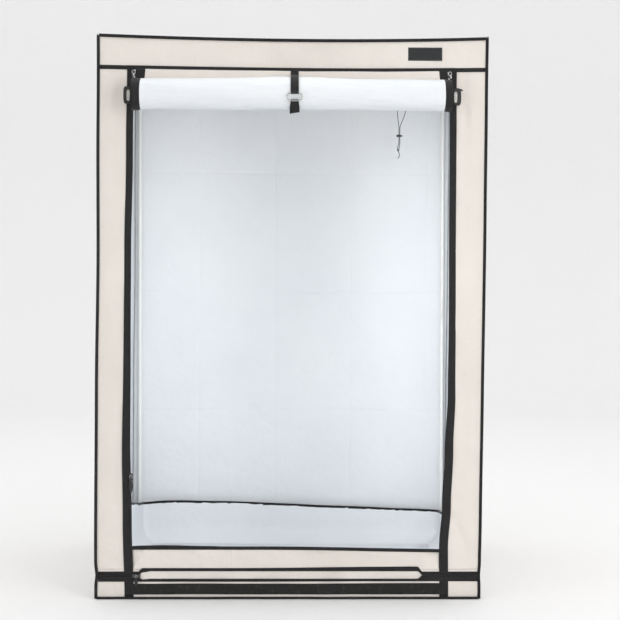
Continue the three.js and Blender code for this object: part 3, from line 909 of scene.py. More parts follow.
def add_front():
    """The five cloth strips of the front, round the door."""
    foot = level(SILL_LOW)
    front_panel("header_cloth", "front_header", left_edge, right_edge, header_line, roof_line, 51,
                [0.31, 0.6, 0.9], most=0.3 * MM)
    front_panel("left_stile_cloth", "left_stile", left_edge, left_door_edge, foot, header_line, 55)
    front_panel("right_stile_cloth", "right_stile", right_door_edge, right_edge, foot, header_line, 57)
    front_panel("sill_cloth", "sill_panel", left_door_edge, right_door_edge, foot, sill_line, 59,
                [0.02, 0.32, 0.66, 0.98], crumple=2.2 * MM)
    front_panel("base_cloth", "base_panel", left_edge, right_edge, level(2.5 * MM), foot, 61,
                [0.3, 0.9], most=0.4 * MM)


# ---- binding on the edges -----------------------------------------------------------------------

BINDING_DEPTH = 12 * MM
BINDING_THICK = 2.6 * MM


def edge_path(start, end, wander, seed):
    """Points from start to end that wander a little to the sides, the same way each time."""
    start, end = Vector(start), Vector(end)
    line = (end - start).normalized()
    side = line.orthogonal().normalized()
    other = line.cross(side)
    path = []
    steps = 70
    for i in range(steps + 1):
        t = i / steps
        s = t * (end - start).length
        held = smooth(min(s, (end - start).length - s) / 0.06)
        path.append(start + (end - start) * t + held * wander * (
            side * rough(s, 0.5, 0.11, seed) + other * rough(s, 4.5, 0.17, seed)))
    return path


def binding(name, path, out, depth=BINDING_DEPTH, thick=BINDING_THICK):
    """Folded tape over a seam, standing out of it along out."""
    out = Vector(out).normalized()
    shifted = [p + out * depth * 0.32 for p in path]
    piece = sweep(name, shifted, flat_section(depth, thick), out, TAPE)
    return settle(piece, SHELL, "black_tape")


def rear_roof_line(x):
    """Height of the roof's rear edge."""
    return TOP - 2.5 * MM - droop(x, 3 * MM)


def add_bindings():
    """Tape over the four corner seams and round the roof and the ground sheet."""
    low = 3.5 * MM
    for name, x, y in [("front_left", -1, FRONT), ("front_right", 1, FRONT),
                       ("rear_left", -1, BACK), ("rear_right", 1, BACK)]:
        edge = left_edge if x < 0 else right_edge
        path = [Vector((edge(z), y, z)) for z in np.linspace(low, TOP + 1 * MM, 121)]
        binding(f"binding_{name}", path, (x, copysign(1, y), 0))
    for name, y, line in [("front", FRONT, roof_line), ("rear", BACK, rear_roof_line)]:
        out = copysign(1, y)
        path = [Vector((widened(x, TOP), y, line(x) + 1 * MM)) for x in np.linspace(-SIDE, SIDE, 90)]
        binding(f"binding_top_{name}", path, (0, out, 1))
        path = edge_path((left_edge(0), y, low), (right_edge(0), y, low), 1.0 * MM, 71 + out)
        binding(f"binding_bottom_{name}", path, (0, out, 0), 9 * MM, 6 * MM)
    for name, edge, out in [("left", left_edge, -1), ("right", right_edge, 1)]:
        top = TOP - 1 * MM
        path = edge_path((edge(TOP), FRONT, top), (edge(TOP), BACK, top), 1.2 * MM, 75 + out)
        binding(f"binding_top_{name}", path, (out, 0, 1))
        path = edge_path((edge(0), FRONT, low), (edge(0), BACK, low), 1.0 * MM, 79 + out)
        binding(f"binding_bottom_{name}", path, (out, 0, 0), 9 * MM, 6 * MM)


add_walls()
add_roof()
add_front()
add_bindings()


# ---- rows of small repeated things --------------------------------------------------------------

def repeated(name, template, faces, places, material):
    """One mesh of many small copies. Each place is (origin, first axis, second axis)."""
    template = np.asarray(template, float)
    points, all_faces = [], []
    for n, (origin, first, second) in enumerate(places):
        first, second = Vector(first).normalized(), Vector(second).normalized()
        basis = np.array([first, second, first.cross(second)])
        points.append(template @ basis + np.array(origin))
        all_faces += [tuple(i + n * len(template) for i in face) for face in faces]
    points = np.concatenate(points)
    return fix_normals(mesh_object(name, points.tolist(), all_faces, points[:, [0, 2]], [material]))


def bead(length, width, height, rings=(-1.0, -0.7, 0.0, 0.7, 1.0)):
    """A rounded grain: points and faces, long along its first axis."""
    sides = 6
    points = []
    for t in rings:
        r = sqrt(max(0.0, 1 - (t * 0.92) ** 2))
        points += [(t * length / 2, r * y, r * z) for y, z in oval(0, 0, width / 2, height / 2, sides)]
    faces = grid_faces(sides, len(rings), closed=True)
    faces.append(tuple(range(sides)))
    faces.append(tuple(range((len(rings) - 1) * sides, len(rings) * sides)))
    return points, faces


def spaced(path, pitch):
    """Points a pitch apart along a path, each with its direction."""
    places, left = [], pitch / 2
    for a, b in zip(path, path[1:]):
        a, b = Vector(a), Vector(b)
        run = (b - a).length
        while left < run:
            places.append((a + (b - a) * (left / run), (b - a).normalized()))
            left += pitch
        left -= run
    return places


STITCH = 4.2 * MM         # from one stitch to the next
COIL = 2.4 * MM           # from one turn of a zip's coil to the next


def stitch_grain(pitch):
    """One stitch, a little shorter than its pitch."""
    return bead(pitch * 0.74, 0.75 * MM, 0.6 * MM, rings=(-1.0, 0.0, 1.0))


def stitches(name, path, lift=0.0, material=THREAD, pitch=STITCH):
    """A line of thread on the front, one grain for each stitch, a lift in front of path."""
    raised = [Vector(p) + Vector((0, -lift, 0)) for p in path]
    places = [(p, along, (0, -1, 0)) for p, along in spaced(raised, pitch)]
    settle(repeated(name, *stitch_grain(pitch), places, material), SHELL, "black_tape")


def zip_teeth(name, path, across):
    """A coil of zip teeth along a path: one rounded bar for each turn, lying across it."""
    places = [(p, across, along) for p, along in spaced(path, COIL)]
    turn = bead(4.6 * MM, 1.5 * MM, 1.5 * MM)
    settle(repeated(name, *turn, places, PLASTIC), SHELL, "black_tape")


# ---- trim on the front --------------------------------------------------------------------------

def trim(name, us, vs, place, material, thickness=1.1 * MM, nodes=()):
    """A strip of tape or webbing on the front."""
    settle(cloth(name, us, vs, place, material, thickness=thickness), SHELL, "black_tape", *nodes)


def add_header_seam():
    """Tape along the bottom of the header, sewn down on both edges."""
    width = 13 * MM

    def place(u, v):
        x = left_edge(HEADER_LINE) + 1 * MM + u
        z = header_line(x) - 5 * MM + v
        over_door = 2.6 * MM * smooth((0.53 - abs(x)) / 0.02)
        lift = 0.9 * MM + over_door + 0.35 * MM * sin(pi * v / width)
        return (x, FRONT - lift, z)

    run = right_edge(HEADER_LINE) - left_edge(HEADER_LINE) - 2 * MM
    trim("header_seam_tape", stations(run, 12 * MM), np.linspace(0, width, 6), place, TAPE)
    for edge, v in [("low", 1.4 * MM), ("high", width - 1.4 * MM)]:
        path = [place(u, v) for u in np.linspace(0, run, 200)]
        stitches(f"header_seam_thread_{edge}", path, 0.1 * MM)


def door_tape(name, node, edge, side):
    """Half of a door zip: woven tape beside the opening, with its teeth on the inner edge."""
    width = 22 * MM
    bottom, top = 4 * MM, HEADER_LINE - 2 * MM

    def place(u, v):
        z = bottom + v
        x = edge(z) + side * (u * (1 + 0.32 * smooth((1.0 - z) / 0.8)) - 1.5 * MM)
        wave = 0.25 * MM * rough(z, u, 0.06, 90 + side)
        flat = smooth(min(u, width - u) / (2 * MM))
        return (x, FRONT - 0.75 * MM - 0.35 * MM * flat - wave, z)

    def facing(u, v):
        """The same tape, counted so that its outer side faces the front on either side."""
        return place(u if side > 0 else width - u, v)

    us = [0, 0.6 * MM, 2 * MM, 6 * MM, 8 * MM, 12 * MM, 16 * MM, 20 * MM, 21.4 * MM, width]
    height = top - bottom
    trim(f"{name}_tape", us, stations(height, 12 * MM), facing, TAPE, nodes=[node])
    for row, u in [("inner", 7.2 * MM), ("outer", width - 1.8 * MM)]:
        path = [place(u, v) for v in np.linspace(0.0, height, 260)]
        stitches(f"{name}_thread_{row}", path, 0.15 * MM)
    path = []
    for v in np.linspace(ZIP_HIGH - bottom, height, 260):
        path.append(Vector(place(2.6 * MM, v)) + Vector((0, -0.5 * MM, 0)))
    zip_teeth(f"{name}_teeth", path, (1, 0, 0))


def add_base_zip():
    """The zip across the bottom of the door: two tapes that meet in a sewn band at each corner."""
    window_left, window_right = -0.488, 0.425

    def spread(x):
        """How far apart the two tapes are at x: 0 in the bands, 1 in the open part."""
        return smooth((x - window_left) / 0.012) * smooth((window_right - x) / 0.016)

    def upper(x, share):
        """Height on the upper tape, from its inner edge at 0 to its outer edge at 1."""
        corners = 4 * MM * smooth((-x - 0.45) / 0.02) + 3 * MM * smooth((x - 0.42) / 0.02)
        inner = ZIP_LOW + 23 * MM + 12 * MM * spread(x) - corners
        outer = ZIP_LOW + 34 * MM + (11 * MM + 5 * MM * smooth((x + 0.2) / 0.6)) * spread(x)
        return inner + (outer - inner) * share

    def lower(x, share):
        """Height on the lower tape, from its outer edge at 0 to its inner edge at 1."""
        inner = ZIP_LOW + 22 * MM - 12 * MM * spread(x) - 2 * MM * smooth((-x - 0.45) / 0.02)
        outer = ZIP_LOW + 1 * MM + 1.5 * MM * smooth((x + 0.2) / 0.5)
        return outer + (inner - outer) * share

    left, right = left_edge(0.08) + 1 * MM, right_edge(0.08) - 1 * MM
    us = stations(right - left, 12 * MM, [window_left - left, window_right - left])
    shares = [0, 0.08, 0.3, 0.5, 0.7, 0.92, 1]
    for name, band, nodes in [("upper", upper, ["base_zip"]), ("lower", lower, [])]:
        def place(u, v, band=band):
            x = left + u
            return (x, FRONT - 1.0 * MM - 0.3 * MM * smooth(min(v, 1 - v) * 6), band(x, v))
        trim(f"base_zip_{name}_tape", us, shares, place, TAPE, nodes=nodes)
        for row in (0.12, 0.88):
            path = [place(u, row) for u in np.linspace(0, right - left, 260)]
            stitches(f"base_zip_{name}_thread_{round(row * 100)}", path, 0.1 * MM)
    front = FRONT - 1.9 * MM
    for side, start, end in [("left", left + 6 * MM, window_left), ("right", window_right, right - 6 * MM)]:
        path = [Vector((x, front, lower(x, 1.0) + 1 * MM)) for x in np.linspace(start, end, 30)]
        zip_teeth(f"base_zip_teeth_{side}", path, (0, 0, 1))
    path = [Vector((x, front, lower(x, 0.9))) for x in np.linspace(window_left, window_right, 200)]
    zip_teeth("base_zip_teeth_middle", path, (0, 0, 1))


def add_hook_strip():
    """Hook-and-loop strip along the foot of the front."""
    low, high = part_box("hook_loop_strip")
    low.x, high.x = left_door_edge(0.03) + 1 * MM, right_door_edge(0.03) - 1 * MM

    def place(u, v):
        x = low.x + u
        ends = smooth(min(u, high.x - low.x - u) / (3 * MM))
        z = low.z + 1 * MM * rough(x, 1.0, 0.21, 71) + v + 1.5 * MM * smooth(x / 0.4) * v / (high.z - low.z)
        edge = smooth(min(v, high.z - low.z - v) / (3 * MM)) * ends
        return (x, FRONT - 0.8 * MM - 0.7 * MM * edge - 0.3 * MM * rough(x, z, 0.05, 72), z)

    width, height = high.x - low.x, high.z - low.z
    vs = [0, 1 * MM, 3 * MM, 9 * MM, 17 * MM, 26 * MM, height - 3 * MM, height - 1 * MM, height]
    trim("hook_strip", stations(width, 9 * MM), vs, place, PILE, 1.0 * MM, ["hook_loop_strip"])
    for row, v in [("low", 2.2 * MM), ("high", height - 2.2 * MM)]:
        path = [place(u, v) for u in np.linspace(2 * MM, width - 2 * MM, 220)]
        stitches(f"hook_strip_thread_{row}", path, 0.2 * MM)


def add_label():
    """A blank woven patch sewn on the header."""
    low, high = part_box("label_patch")
    low.z += 4 * MM
    high.z += 5 * MM
    width, height = high.x - low.x, high.z - low.z

    def place(u, v):
        edge = smooth(min(u, width - u, v, height - v) / (2 * MM))
        puff = 0.5 * MM * sin(pi * u / width) * sin(pi * v / height)
        return (low.x + u, FRONT - 1.1 * MM - 0.5 * MM * edge - puff, low.z + v)

    us = stations(width, 4 * MM, [2 * MM, width - 2 * MM])
    vs = stations(height, 4 * MM, [2 * MM, height - 2 * MM])
    trim("label_cloth", us, vs, place, LABEL, 0.9 * MM, ["label_patch"])
    inset = 2.6 * MM
    right, top = width - inset, height - inset
    corners = [(inset, inset), (right, inset), (right, top), (inset, top), (inset, inset)]
    path = []
    for (u0, v0), (u1, v1) in zip(corners, corners[1:]):
        path += [place(u0 + (u1 - u0) * t, v0 + (v1 - v0) * t) for t in np.linspace(0, 1, 30)]
    stitches("label_thread", path, 0.2 * MM, GREY_THREAD, 2.6 * MM)


def add_sill_trim():
    """Binding over the top of the sill, under the door opening."""
    left, right = left_door_edge(SILL_HIGH) - 2 * MM, right_door_edge(SILL_HIGH) + 2 * MM
    path = [Vector((x, FRONT - 0.3 * MM + 0.6 * MM * rough(x, 0.2, 0.1, 81), sill_line(x) - 2 * MM))
            for x in np.linspace(left, right, 110)]
    binding("sill_binding", path, (0, 0, 1), 11 * MM, 3.0 * MM)
    path = [p + Vector((0, -1.6 * MM, 0.4 * MM)) for p in path]
    stitches("sill_thread", path)


# ---- zip sliders and pulls ----------------------------------------------------------------------

def torus(name, centre, radius, wire, normal, material, stretch=1.0):
    """A small ring of wire, round or stretched upwards."""
    normal = Vector(normal).normalized()
    first = normal.orthogonal().normalized()
    if abs(normal.z) < 0.9:
        first = (Vector((0, 0, 1)) - normal * normal.z).normalized()
    second = normal.cross(first)
    path = [Vector(centre) + first * a + second * b for a, b in oval(0, 0, radius * stretch, radius, 36)]
    return sweep(name, path, round_section(wire, 10), normal, material, closed=True)


def zip_slider(node, body, upright):
    """A cast slider: two waisted plates, the post between them, and an arch for the pull."""
    low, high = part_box(node)
    cx, cz = (low.x + high.x) / 2, (low.z + high.z) / 2
    half = ((high.x - low.x) / 2, (high.z - low.z) / 2)
    long, wide = (half[1], half[0]) if upright else (half[0], half[1])
    outline = []
    for k in range(40):
        a = 2 * pi * k / 40
        along = cos(a)
        waist = 1 - 0.22 * exp(-((along - 0.1) / 0.5) ** 2) - 0.12 * max(0.0, -along)
        across = eased(sin(a), 0.6) * waist * wide
        along = eased(along, 0.7) * long
        outline.append((cx + across, cz + along) if upright else (cx + along, cz + across))
    depth = high.y - low.y
    post = oval(cx, cz, wide * 0.3, wide * 0.45)
    plates = [
        extruded(f"{node}_back", [outline], high.y - 0.28 * depth, high.y, GUN, 0.35 * MM),
        extruded(f"{node}_front", [outline], low.y + 0.22 * depth, low.y + 0.55 * depth, GUN, 0.4 * MM),
        extruded(f"{node}_post", [post], low.y + 0.5 * depth, high.y - 0.2 * depth, GUN, 0.1 * MM),
    ]
    arch = []
    for t in np.linspace(0, pi, 15):
        run = cos(t) * long * 0.6
        rise = low.y + 0.3 * depth - sin(t) * 0.28 * depth
        arch.append(Vector((cx, rise, cz + run)) if upright else Vector((cx + run, rise, cz)))
    across = (1, 0, 0) if upright else (0, 0, 1)
    plates.append(sweep(f"{node}_arch", arch, flat_section(wide * 0.5, 0.9 * MM), across, GUN))
    settle(merge(f"{node}_cast", plates), body, "zip_metal", node)


def zip_pull(node, neck):
    """A hanging tab: a link through the slider's arch, and below the neck a leaf with an eye and a rib."""
    low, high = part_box(node)
    cx, width, height = (low.x + high.x) / 2, high.x - low.x, high.z - low.z
    middle = (low.y + high.y) / 2
    leaf_height = height - neck
    leaf_top = high.z - neck
    outline = []
    for k in range(44):
        a = 2 * pi * k / 44
        t = (1 - cos(a)) / 2
        bulge = 0.55 + 0.45 * sin(pi * min(1, t * 1.15)) ** 0.8
        taper = 1 - 1.4 * max(0, t - 0.75)
        half = width / 2 * bulge * taper
        outline.append((cx + eased(sin(a), 0.5) * half, leaf_top - t * leaf_height))
    eye = oval(cx, leaf_top - 0.13 * height, width * 0.2, width * 0.2, 16)
    leaf = extruded(f"{node}_leaf", [outline, eye], low.y + 0.1 * MM, high.y - 0.1 * MM, PLASTIC, 0.45 * MM)
    rib = oval(cx, leaf_top - 0.55 * leaf_height, width * 0.2, leaf_height * 0.3, 24)
    raised = extruded(f"{node}_rib", [rib], low.y - 0.25 * MM, low.y + 0.6 * MM, PLASTIC, 0.25 * MM)
    centre = (cx, middle, high.z - neck * 0.62)
    radius = min(width * 0.34, neck * 0.62)
    ring = torus(f"{node}_link", centre, radius, 0.7 * MM, (0, 1, 0), BRIGHT, stretch=1.2)
    settle(merge(f"{node}_tab", [leaf, raised, ring]), node, "black_plastic", node)


def ring_pull(node, ring, tab_end):
    """A wire ring on an upper slider, and the short tab that hangs from it."""
    low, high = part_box(node)
    depth = (low.y + high.y) / 2
    ring, tab_end = Vector((ring[0], depth, ring[1])), Vector((tab_end[0], depth, tab_end[1]))
    radius = 5.2 * MM
    loop = torus(f"{node}_ring", ring, radius, 1.0 * MM, (0.15, 1, 0.1), BRIGHT)
    start = ring + (tab_end - ring).normalized() * (radius - 0.6 * MM)
    path = [start.lerp(tab_end, t) for t in np.linspace(0, 1, 8)]
    tab = sweep(f"{node}_tab", path, flat_section(5.2 * MM, 1.5 * MM, 14, 0.5), (0.8, 0, 0.6), BRIGHT)
    settle(merge(f"{node}_hanger", [loop, tab]), node, "zip_metal", node)


def add_sliders():
    """Every slider with its pull."""
    zip_slider("upper_left_slider", SHELL, upright=True)
    zip_slider("upper_right_slider", SHELL, upright=True)
    zip_slider("left_zip_slider", "left_zip_slider", upright=True)
    zip_slider("base_zip_slider", "base_zip_slider", upright=False)
    left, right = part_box("upper_left_pull"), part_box("upper_right_pull")
    ring_pull("upper_left_pull", (left[1].x - 3 * MM, left[1].z - 2 * MM),
              (left[1].x - 2.5 * MM, left[1].z - 17 * MM))
    ring_pull("upper_right_pull", (right[0].x + 4 * MM, right[1].z - 2 * MM),
              (right[0].x + 7 * MM, right[1].z - 17 * MM))
    zip_pull("left_zip_pull", 9 * MM)
    zip_pull("base_zip_pull", 7 * MM)


# ---- rolled door --------------------------------------------------------------------------------

ROLL_HALF_LENGTH = ROLL_HIGH.x - 11 * MM
WHITE_LEFT, WHITE_RIGHT = -0.475, 0.480   # the door's zip tapes start here, and go to the roll's ends
STRAP_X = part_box("strap_ring")[0].lerp(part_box("strap_ring")[1], 0.5).x + 2.5 * MM
TURNS = 6.5
ROLL_START = radians(20)
HANG = 0.082              # the strip between the header seam and the roll is counted from -HANG to 0


def past_white(x):
    """How far x is beyond the lining, on the zip tape at that end."""
    return max(WHITE_LEFT - x, x - WHITE_RIGHT)


def strap_bump(angle):
    """The roll is fuller over its top where the strap lifts it."""
    return 7 * MM * max(0.0, sin(angle))


def roll_point(x, turn, lift=0.0):
    """A point of the spiral: turn counts from 0 at the back of the roll down, under and up the front."""
    inward = 1 - 0.03 * turn if turn < 1 else 0.97 - 0.125 * (turn - 1)
    angle = ROLL_START - 2 * pi * turn
    end = smooth(past_white(x) / 0.01)
    narrow = 1 - 0.035 * exp(-((x - STRAP_X) / 0.03) ** 2)
    loose = 1.6 * MM * rough(x, turn * 0.5, 0.16, 5) + 0.9 * MM * rough(x * 0.35, turn * 3.0, 0.12, 6)
    loose += 1.1 * MM * crinkle(x * 0.3, turn * 1.1, 0.13, 7)
    grow = (loose * (1 - 0.6 * end) - 0.8 * MM) * inward + lift + 0.7 * MM * end
    y_axis = ROLL_HALF_DEPTH * inward * narrow + grow
    z_axis = ROLL_HALF_HEIGHT * inward * narrow + grow
    lower = 1.5 * MM * (1 - sin(angle)) * end
    z_axis += strap_bump(angle) * exp(-((x - STRAP_X) / 0.16) ** 2) * inward
    y, z = y_axis * cos(angle), z_axis * sin(angle) - lower
    return Vector((x, ROLL_CENTRE_Y + y, ROLL_CENTRE_Z + z))


def roll_thread(name, x):
    """A line of stitches once round the roll."""
    path = [roll_point(x, t, 0.45 * MM) for t in np.linspace(0.02, 0.98, 60)]
    places = []
    for p, along in spaced(path, STITCH):
        places.append((p, along, Vector((0, p.y - ROLL_CENTRE_Y, p.z - ROLL_CENTRE_Z))))
    thread = repeated(f"roll_thread_{name}", *stitch_grain(STITCH), places, THREAD)
    settle(thread, "door_roll", "black_tape")


def add_roll():
    """The door, rolled up outwards from its hem and hanging from the header seam."""
    hanging = [-HANG + HANG * i / 10 for i in range(10)]
    turns = [i / 44 for i in range(45)] + [1 + i / 26 for i in range(1, int(26 * (TURNS - 1)) + 1)]

    def place(u, v):
        x = u - ROLL_HALF_LENGTH
        if v < 0:
            top = Vector((x * 0.988, FRONT - 2.4 * MM, header_line(x)))
            t = 1 + v / HANG
            wave = 1.2 * MM * rough(x, t, 0.09, 8) * sin(pi * t)
            p = top.lerp(roll_point(x, 0.0), t)
            return p + Vector((0, wave - 0.8 * MM * sin(pi * t), 0))
        x *= 1 - 0.004 * v + 0.003 * rough(v, 1.0, 0.6, 9)
        return roll_point(x, v)

    us = list(np.linspace(0, 2 * ROLL_HALF_LENGTH, 110))
    for step in [-0.003, 0.0, 0.003, 0.008, 0.016]:
        us += [ROLL_HALF_LENGTH + WHITE_LEFT - step, ROLL_HALF_LENGTH + WHITE_RIGHT + step]
    us = sorted({round(u, 5) for u in us})
    vs = hanging + turns

    def pick(u, v):
        """The zip tape beyond the lining, or the lining."""
        return 1 if past_white(u - ROLL_HALF_LENGTH) > (-1 * MM if v > 0 else -5 * MM) else 0

    door = cloth("rolled_door_cloth", us, vs, place, [LINING, TAPE], [CREAM, TAPE], pick, 0.9 * MM)
    settle(door, "door_roll", "cream_fabric", "rolled_door")
    length = path_length([place(ROLL_HALF_LENGTH, v) for v in vs])
    end = ROLL_HALF_LENGTH - 2 * MM
    roll_thread("left_inner", WHITE_LEFT - 2.5 * MM)
    roll_thread("left_outer", -end)
    roll_thread("right_inner", WHITE_RIGHT + 2.5 * MM)
    roll_thread("right_outer", end)


def round_roll(start, end, count):
    """Points of the strap on the roll from one angle to another, in degrees, counted from the back."""
    lift = 2.2 * MM
    path = []
    for a in np.linspace(radians(start), radians(end), count):
        y = (ROLL_HALF_DEPTH + lift) * cos(a)
        z = (ROLL_HALF_HEIGHT + lift + strap_bump(a)) * sin(a)
        path.append(Vector((0, ROLL_CENTRE_Y + y, ROLL_CENTRE_Z + z)))
    return path


def round_bar(y, z, start, end, count):
    """Points of the strap round a bar of the ring from one angle to another, in degrees."""
    reach = 3.1 * MM
    path = []
    for a in np.linspace(radians(start), radians(end), count):
        path.append(Vector((0, y - reach * sin(a), z + reach * cos(a))))
    return path


def webbing(name, node, path, thick, width, lean):
    """Flat strap along a path in Y and Z. width and lean are functions of how far along it is."""
    count, across = len(path), 9
    points, uvs, run = [], [], 0.0
    for i, p in enumerate(path):
        if i:
            run += (p - path[i - 1]).length
        w, skew = width(i / (count - 1)), lean(i / (count - 1))
        ahead = (path[min(i + 1, count - 1)] - path[max(i - 1, 0)]).normalized()
        for k in range(across):
            s = k / (across - 1) - 0.5
            points.append(p + Vector((STRAP_X + s * w, 0, 0)) + ahead * (skew * s * w))
            uvs.append((s * w, run))
    piece = solidify(mesh_object(name, points, grid_faces(across, count), uvs, [WEBBING]), thick)
    piece.modifiers["thickness"].offset = 0
    settle(piece, "door_roll", "black_tape", node)


def add_strap():
    """Webbing from the header seam over the roll to an oval ring, and its tail on under the roll."""
    low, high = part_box("strap_ring")
    ring = (low + high) / 2
    wire = 2 * MM
    half_w, half_h = (high.x - low.x) / 2 - wire, (high.z - low.z) / 2 - wire
    from_seam = [(3.0, 3), (4.5, 10), (12, 22)]
    over = [Vector((0, FRONT - out * MM, HEADER_LINE - down * MM)) for out, down in from_seam]
    over += round_roll(72, 178, 26)
    last = over[-1]
    over += round_bar(ring.y, ring.z + half_h, 50, 330, 13)
    over.append(Vector((0, last.y + 1.3 * MM, last.z - 3 * MM)))
    webbing("door_strap", "centre_strap", over, 1.3 * MM,
            width=lambda t: 25 * MM - 2 * MM * smooth((t - 0.85) / 0.15), lean=lambda t: 0.0)
    tail = round_bar(ring.y, ring.z - half_h, 60, -110, 10) + round_roll(210, 238, 10)
    tail += [tail[-1] + Vector((0, 1.2 * MM * i, -3.4 * MM * i)) for i in range(1, 6)]
    webbing("door_strap_tail", "strap_tail", tail, 1.4 * MM,
            width=lambda t: 24 * MM + 7 * MM * smooth((t - 0.3) / 0.6),
            lean=lambda t: -0.16 * smooth((t - 0.5) / 0.5))
    path = [Vector((x, ring.y, z)) for x, z in oval(STRAP_X, ring.z, half_w, half_h, 56, 0.62)]
    hoop = sweep("strap_ring_wire", path, round_section(wire, 12), (0, 1, 0), BRIGHT, closed=True)
    settle(hoop, "strap_ring", "zip_metal", "strap_ring")


def hold_loop(node):
    """A moulded loop that holds the roll's end, with a plated gate across its opening."""
    low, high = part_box(node)
    if low.x < 0:
        low.x += 4 * MM
    side = copysign(1, low.x)
    cx, cz, cy = (low.x + high.x) / 2, (low.z + high.z) / 2, (low.y + high.y) / 2
    half_w, half_h = (high.x - low.x) / 2, (high.z - low.z) / 2
    gate_x, gate_z = cx - side * 4.5 * MM, cz - 1 * MM
    rim = oval(cx, cz, half_w - 0.8 * MM, half_h - 1 * MM, 56, 0.55)
    hole = oval(gate_x, gate_z, 5.6 * MM, half_h - 8 * MM, 32, 0.6)
    leaf = oval(gate_x, gate_z, 4.6 * MM, half_h - 11 * MM, 32, 0.6)
    parts = [extruded(f"{node}_band", [rim, hole], low.y, high.y, PLASTIC, 0.8 * MM),
             extruded(f"{node}_gate", [leaf], low.y - 0.4 * MM, low.y + 1.6 * MM, NICKEL, 0.5 * MM)]
    if side > 0:
        top = Vector((cx + half_w - 4 * MM, cy, high.z - 6 * MM))
        hooked = [(0, 0), (3, 1), (6, -0.5), (8, -3.5)]
        path = [top + Vector((dx * MM, 0, dz * MM)) for dx, dz in hooked]
        parts.append(sweep(f"{node}_tip", path, oval(0, 0, 2.6 * MM, 1.2 * MM, 10), (0, 0, 1), PLASTIC))
    settle(merge(f"{node}_clip", parts), node, "black_plastic", node)


# ---- flood tray, sleeve and frame ---------------------------------------------------------------

def add_tray():
    """Waterproof floor tray: a soft tub whose bound rim waves between its corners."""
    low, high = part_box("flood_tray")
    half_x, half_y = high.x, high.y
    corner = 0.022
    rim = high.z

    def rim_height(x, y):
        """Drawn up where the sides run forwards, and lower towards the right."""
        wave = 2.5 * MM * rough(x, y, 0.21, 61)
        towards_front = max(0.0, 0.428 - y) * smooth((y + 0.42) / 0.4)
        pulled_up = towards_front * (0.172 * smooth((-x - 0.54) / 0.03) + 0.10 * smooth((x - 0.54) / 0.03))
        corner_drop = 6 * MM * (1 - smooth((x + 0.59) / 0.11)) - 3 * MM * exp(-((x + 0.42) / 0.1) ** 2)
        slope = max(0.0, min(1.0, (x + 0.25) / 0.85))
        return rim + 2 * MM + wave + pulled_up - corner_drop - 34 * MM * slope

    def tray_slack(x, y, z, share, k):
        """How far the wall sags inwards, a share of the way up it, with gathers at the right corners."""
        near_corner = hypot(max(0, abs(x) - half_x + 0.06), max(0, abs(y) - half_y + 0.06))
        near = smooth((near_corner - 0.055) / 0.03)
        sag = 3.2 * MM * abs(rough(x, y, 0.12, 63)) + 2.2 * MM * crinkle(x + y, z, 0.06, 64)
        gathers = 5 * MM * near * abs(sin(k * 0.9)) * share * (x > 0)
        return sag * smooth(share / 0.15) * (1 - near) + gathers

    outline = []
    for cx, cy, start in [(1, 1, 0.0), (-1, 1, 0.5), (-1, -1, 1.0), (1, -1, 1.5)]:
        for a in np.linspace(start * pi, (start + 0.5) * pi, 7):
            x = cx * (half_x - corner) + corner * cos(a)
            y = cy * (half_y - corner) + corner * sin(a)
            outline.append((x, y))
    ring = []
    for (x0, y0), (x1, y1) in zip(outline, [*outline[1:], outline[0]]):
        pieces = max(1, round(dist((x0, y0), (x1, y1)) / (14 * MM)))
        ring += [(x0 + (x1 - x0) * i / pieces, y0 + (y1 - y0) * i / pieces) for i in range(pieces)]
    count = len(ring)
    levels = [1.0, 0.97, 0.9, 0.8, 0.68, 0.55, 0.42, 0.3, 0.2, 0.15, 0.1, 0.06, 0.03, 0.01]
    points, uvs = [], []
    for share in levels:
        for k, (x, y) in enumerate(ring):
            z = low.z + 0.6 * MM + share * (rim_height(x, y) - low.z)
            inward = tray_slack(x, y, z, share, k) + 56 * MM * max(0.0, 1 - share / 0.42) ** 2
            scale = 1 - inward / hypot(x, y)
            points.append((x * scale, y * scale, z))
            uvs.append((k * 14 * MM, z))
    floor_levels = [0.84, 0.76, 0.66, 0.5, 0.35, 0.18, 0.05]
    for share in floor_levels:
        for x, y in ring:
            x, y = x * share, y * share
            z = low.z + 0.9 * MM + 0.7 * MM * crinkle(x, y, 0.16, 65) * smooth((0.84 - share) / 0.1)
            points.append((x, y, z))
            uvs.append((x, y))
    rows = len(levels) + len(floor_levels)
    faces = grid_faces(count, rows, closed=True)
    faces.append(tuple((rows - 1) * count + k for k in range(count)))
    tub = fix_normals(mesh_object("tray_cloth", points, faces, uvs, [LINING, LINING]))
    solidify(tub, 1.2 * MM)
    settle(tub, "flood_tray", "lining_fabric", "flood_tray")
    path = [Vector(p) + Vector((0, 0, 1 * MM)) for p in points[:count]]
    edge = sweep("tray_binding", path, flat_section(10.5 * MM, 2.6 * MM), (0, 0, 1), TAPE, closed=True)
    settle(edge, "flood_tray", "black_tape")


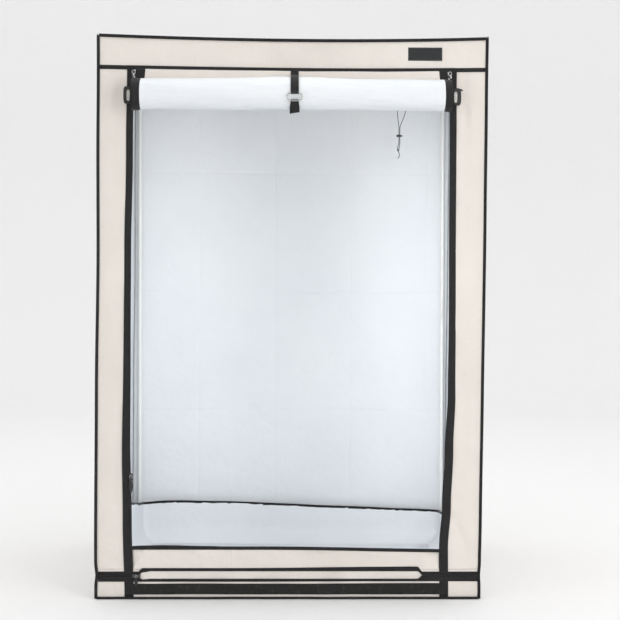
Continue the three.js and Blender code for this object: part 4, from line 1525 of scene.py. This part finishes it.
def add_sleeve():
    """Duct sleeve: cloth that hangs in from the roof and is gathered by its drawstring."""
    mouth_z = SLEEVE_LOW.z
    levels = [(TOP - 0.6 * MM, SLEEVE_R, 0.0), (TOP - 2 * MM, SLEEVE_R - 0.6 * MM, 0.0)]
    for t in np.linspace(0.03, 1, 26):
        radius = 0.0195 + (SLEEVE_R - 0.0205) * (1 - smooth(t ** 0.8)) ** 0.9
        levels.append((TOP - 2 * MM - t * (TOP - 2 * MM - mouth_z), radius, smooth(t / 0.7)))
    around = 168
    points, uvs = [], []
    for z, radius, gathered in levels:
        for k in range(around):
            a = 2 * pi * k / around
            pleat = sin(14 * a + 1.2 * sin(3 * a)) * gathered
            drawn_in = (1 + pleat) * 0.11 * radius - 0.4 * MM * rough(a, z, 0.02, 12)
            r = radius - 0.6 * MM - drawn_in * gathered
            points.append((SLEEVE.x + r * cos(a), SLEEVE.y + r * sin(a), z))
            uvs.append((a * SLEEVE_R, z))
    faces = grid_faces(around, len(levels), closed=True)
    sleeve = fix_normals(mesh_object("duct_sleeve_cloth", points, faces, uvs, [CREAM, CREAM]))
    solidify(sleeve, CLOTH)
    settle(sleeve, SHELL, "cream_fabric", "duct_sleeve")
    for name, z, radius, wire in [("duct_sleeve_binding", TOP + 0.3 * MM, SLEEVE_R + 3 * MM, 1.6 * MM),
                                  ("duct_sleeve_hem", mouth_z + 4 * MM, 17.2 * MM, 2.2 * MM)]:
        ring = torus(name, (SLEEVE.x, SLEEVE.y, z), radius, wire, (0, 0, 1), TAPE)
        settle(ring, SHELL, "black_tape")


def dress_frame():
    """Enamel on the tubes and moulded plastic on the corners, which keep their CAD shapes."""
    for name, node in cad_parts.items():
        tube = "pole" in name or "rail" in name or "light_bar" in name
        if not tube and "connector" not in name:
            continue
        node.data.materials.clear()
        node.data.materials.append(ENAMEL if tube else CONNECTOR)
        node.data.shade_smooth()
        node.data.set_sharp_from_angle(angle=radians(35))


add_header_seam()
door_tape("left_door", "left_door_zip", left_door_edge, -1)
door_tape("right_door", "right_door_zip", right_door_edge, 1)
add_base_zip()
add_hook_strip()
add_label()
add_sill_trim()
add_sliders()
add_roll()
add_strap()
hold_loop("left_hold_loop")
hold_loop("right_hold_loop")
add_tray()
add_sleeve()
dress_frame()
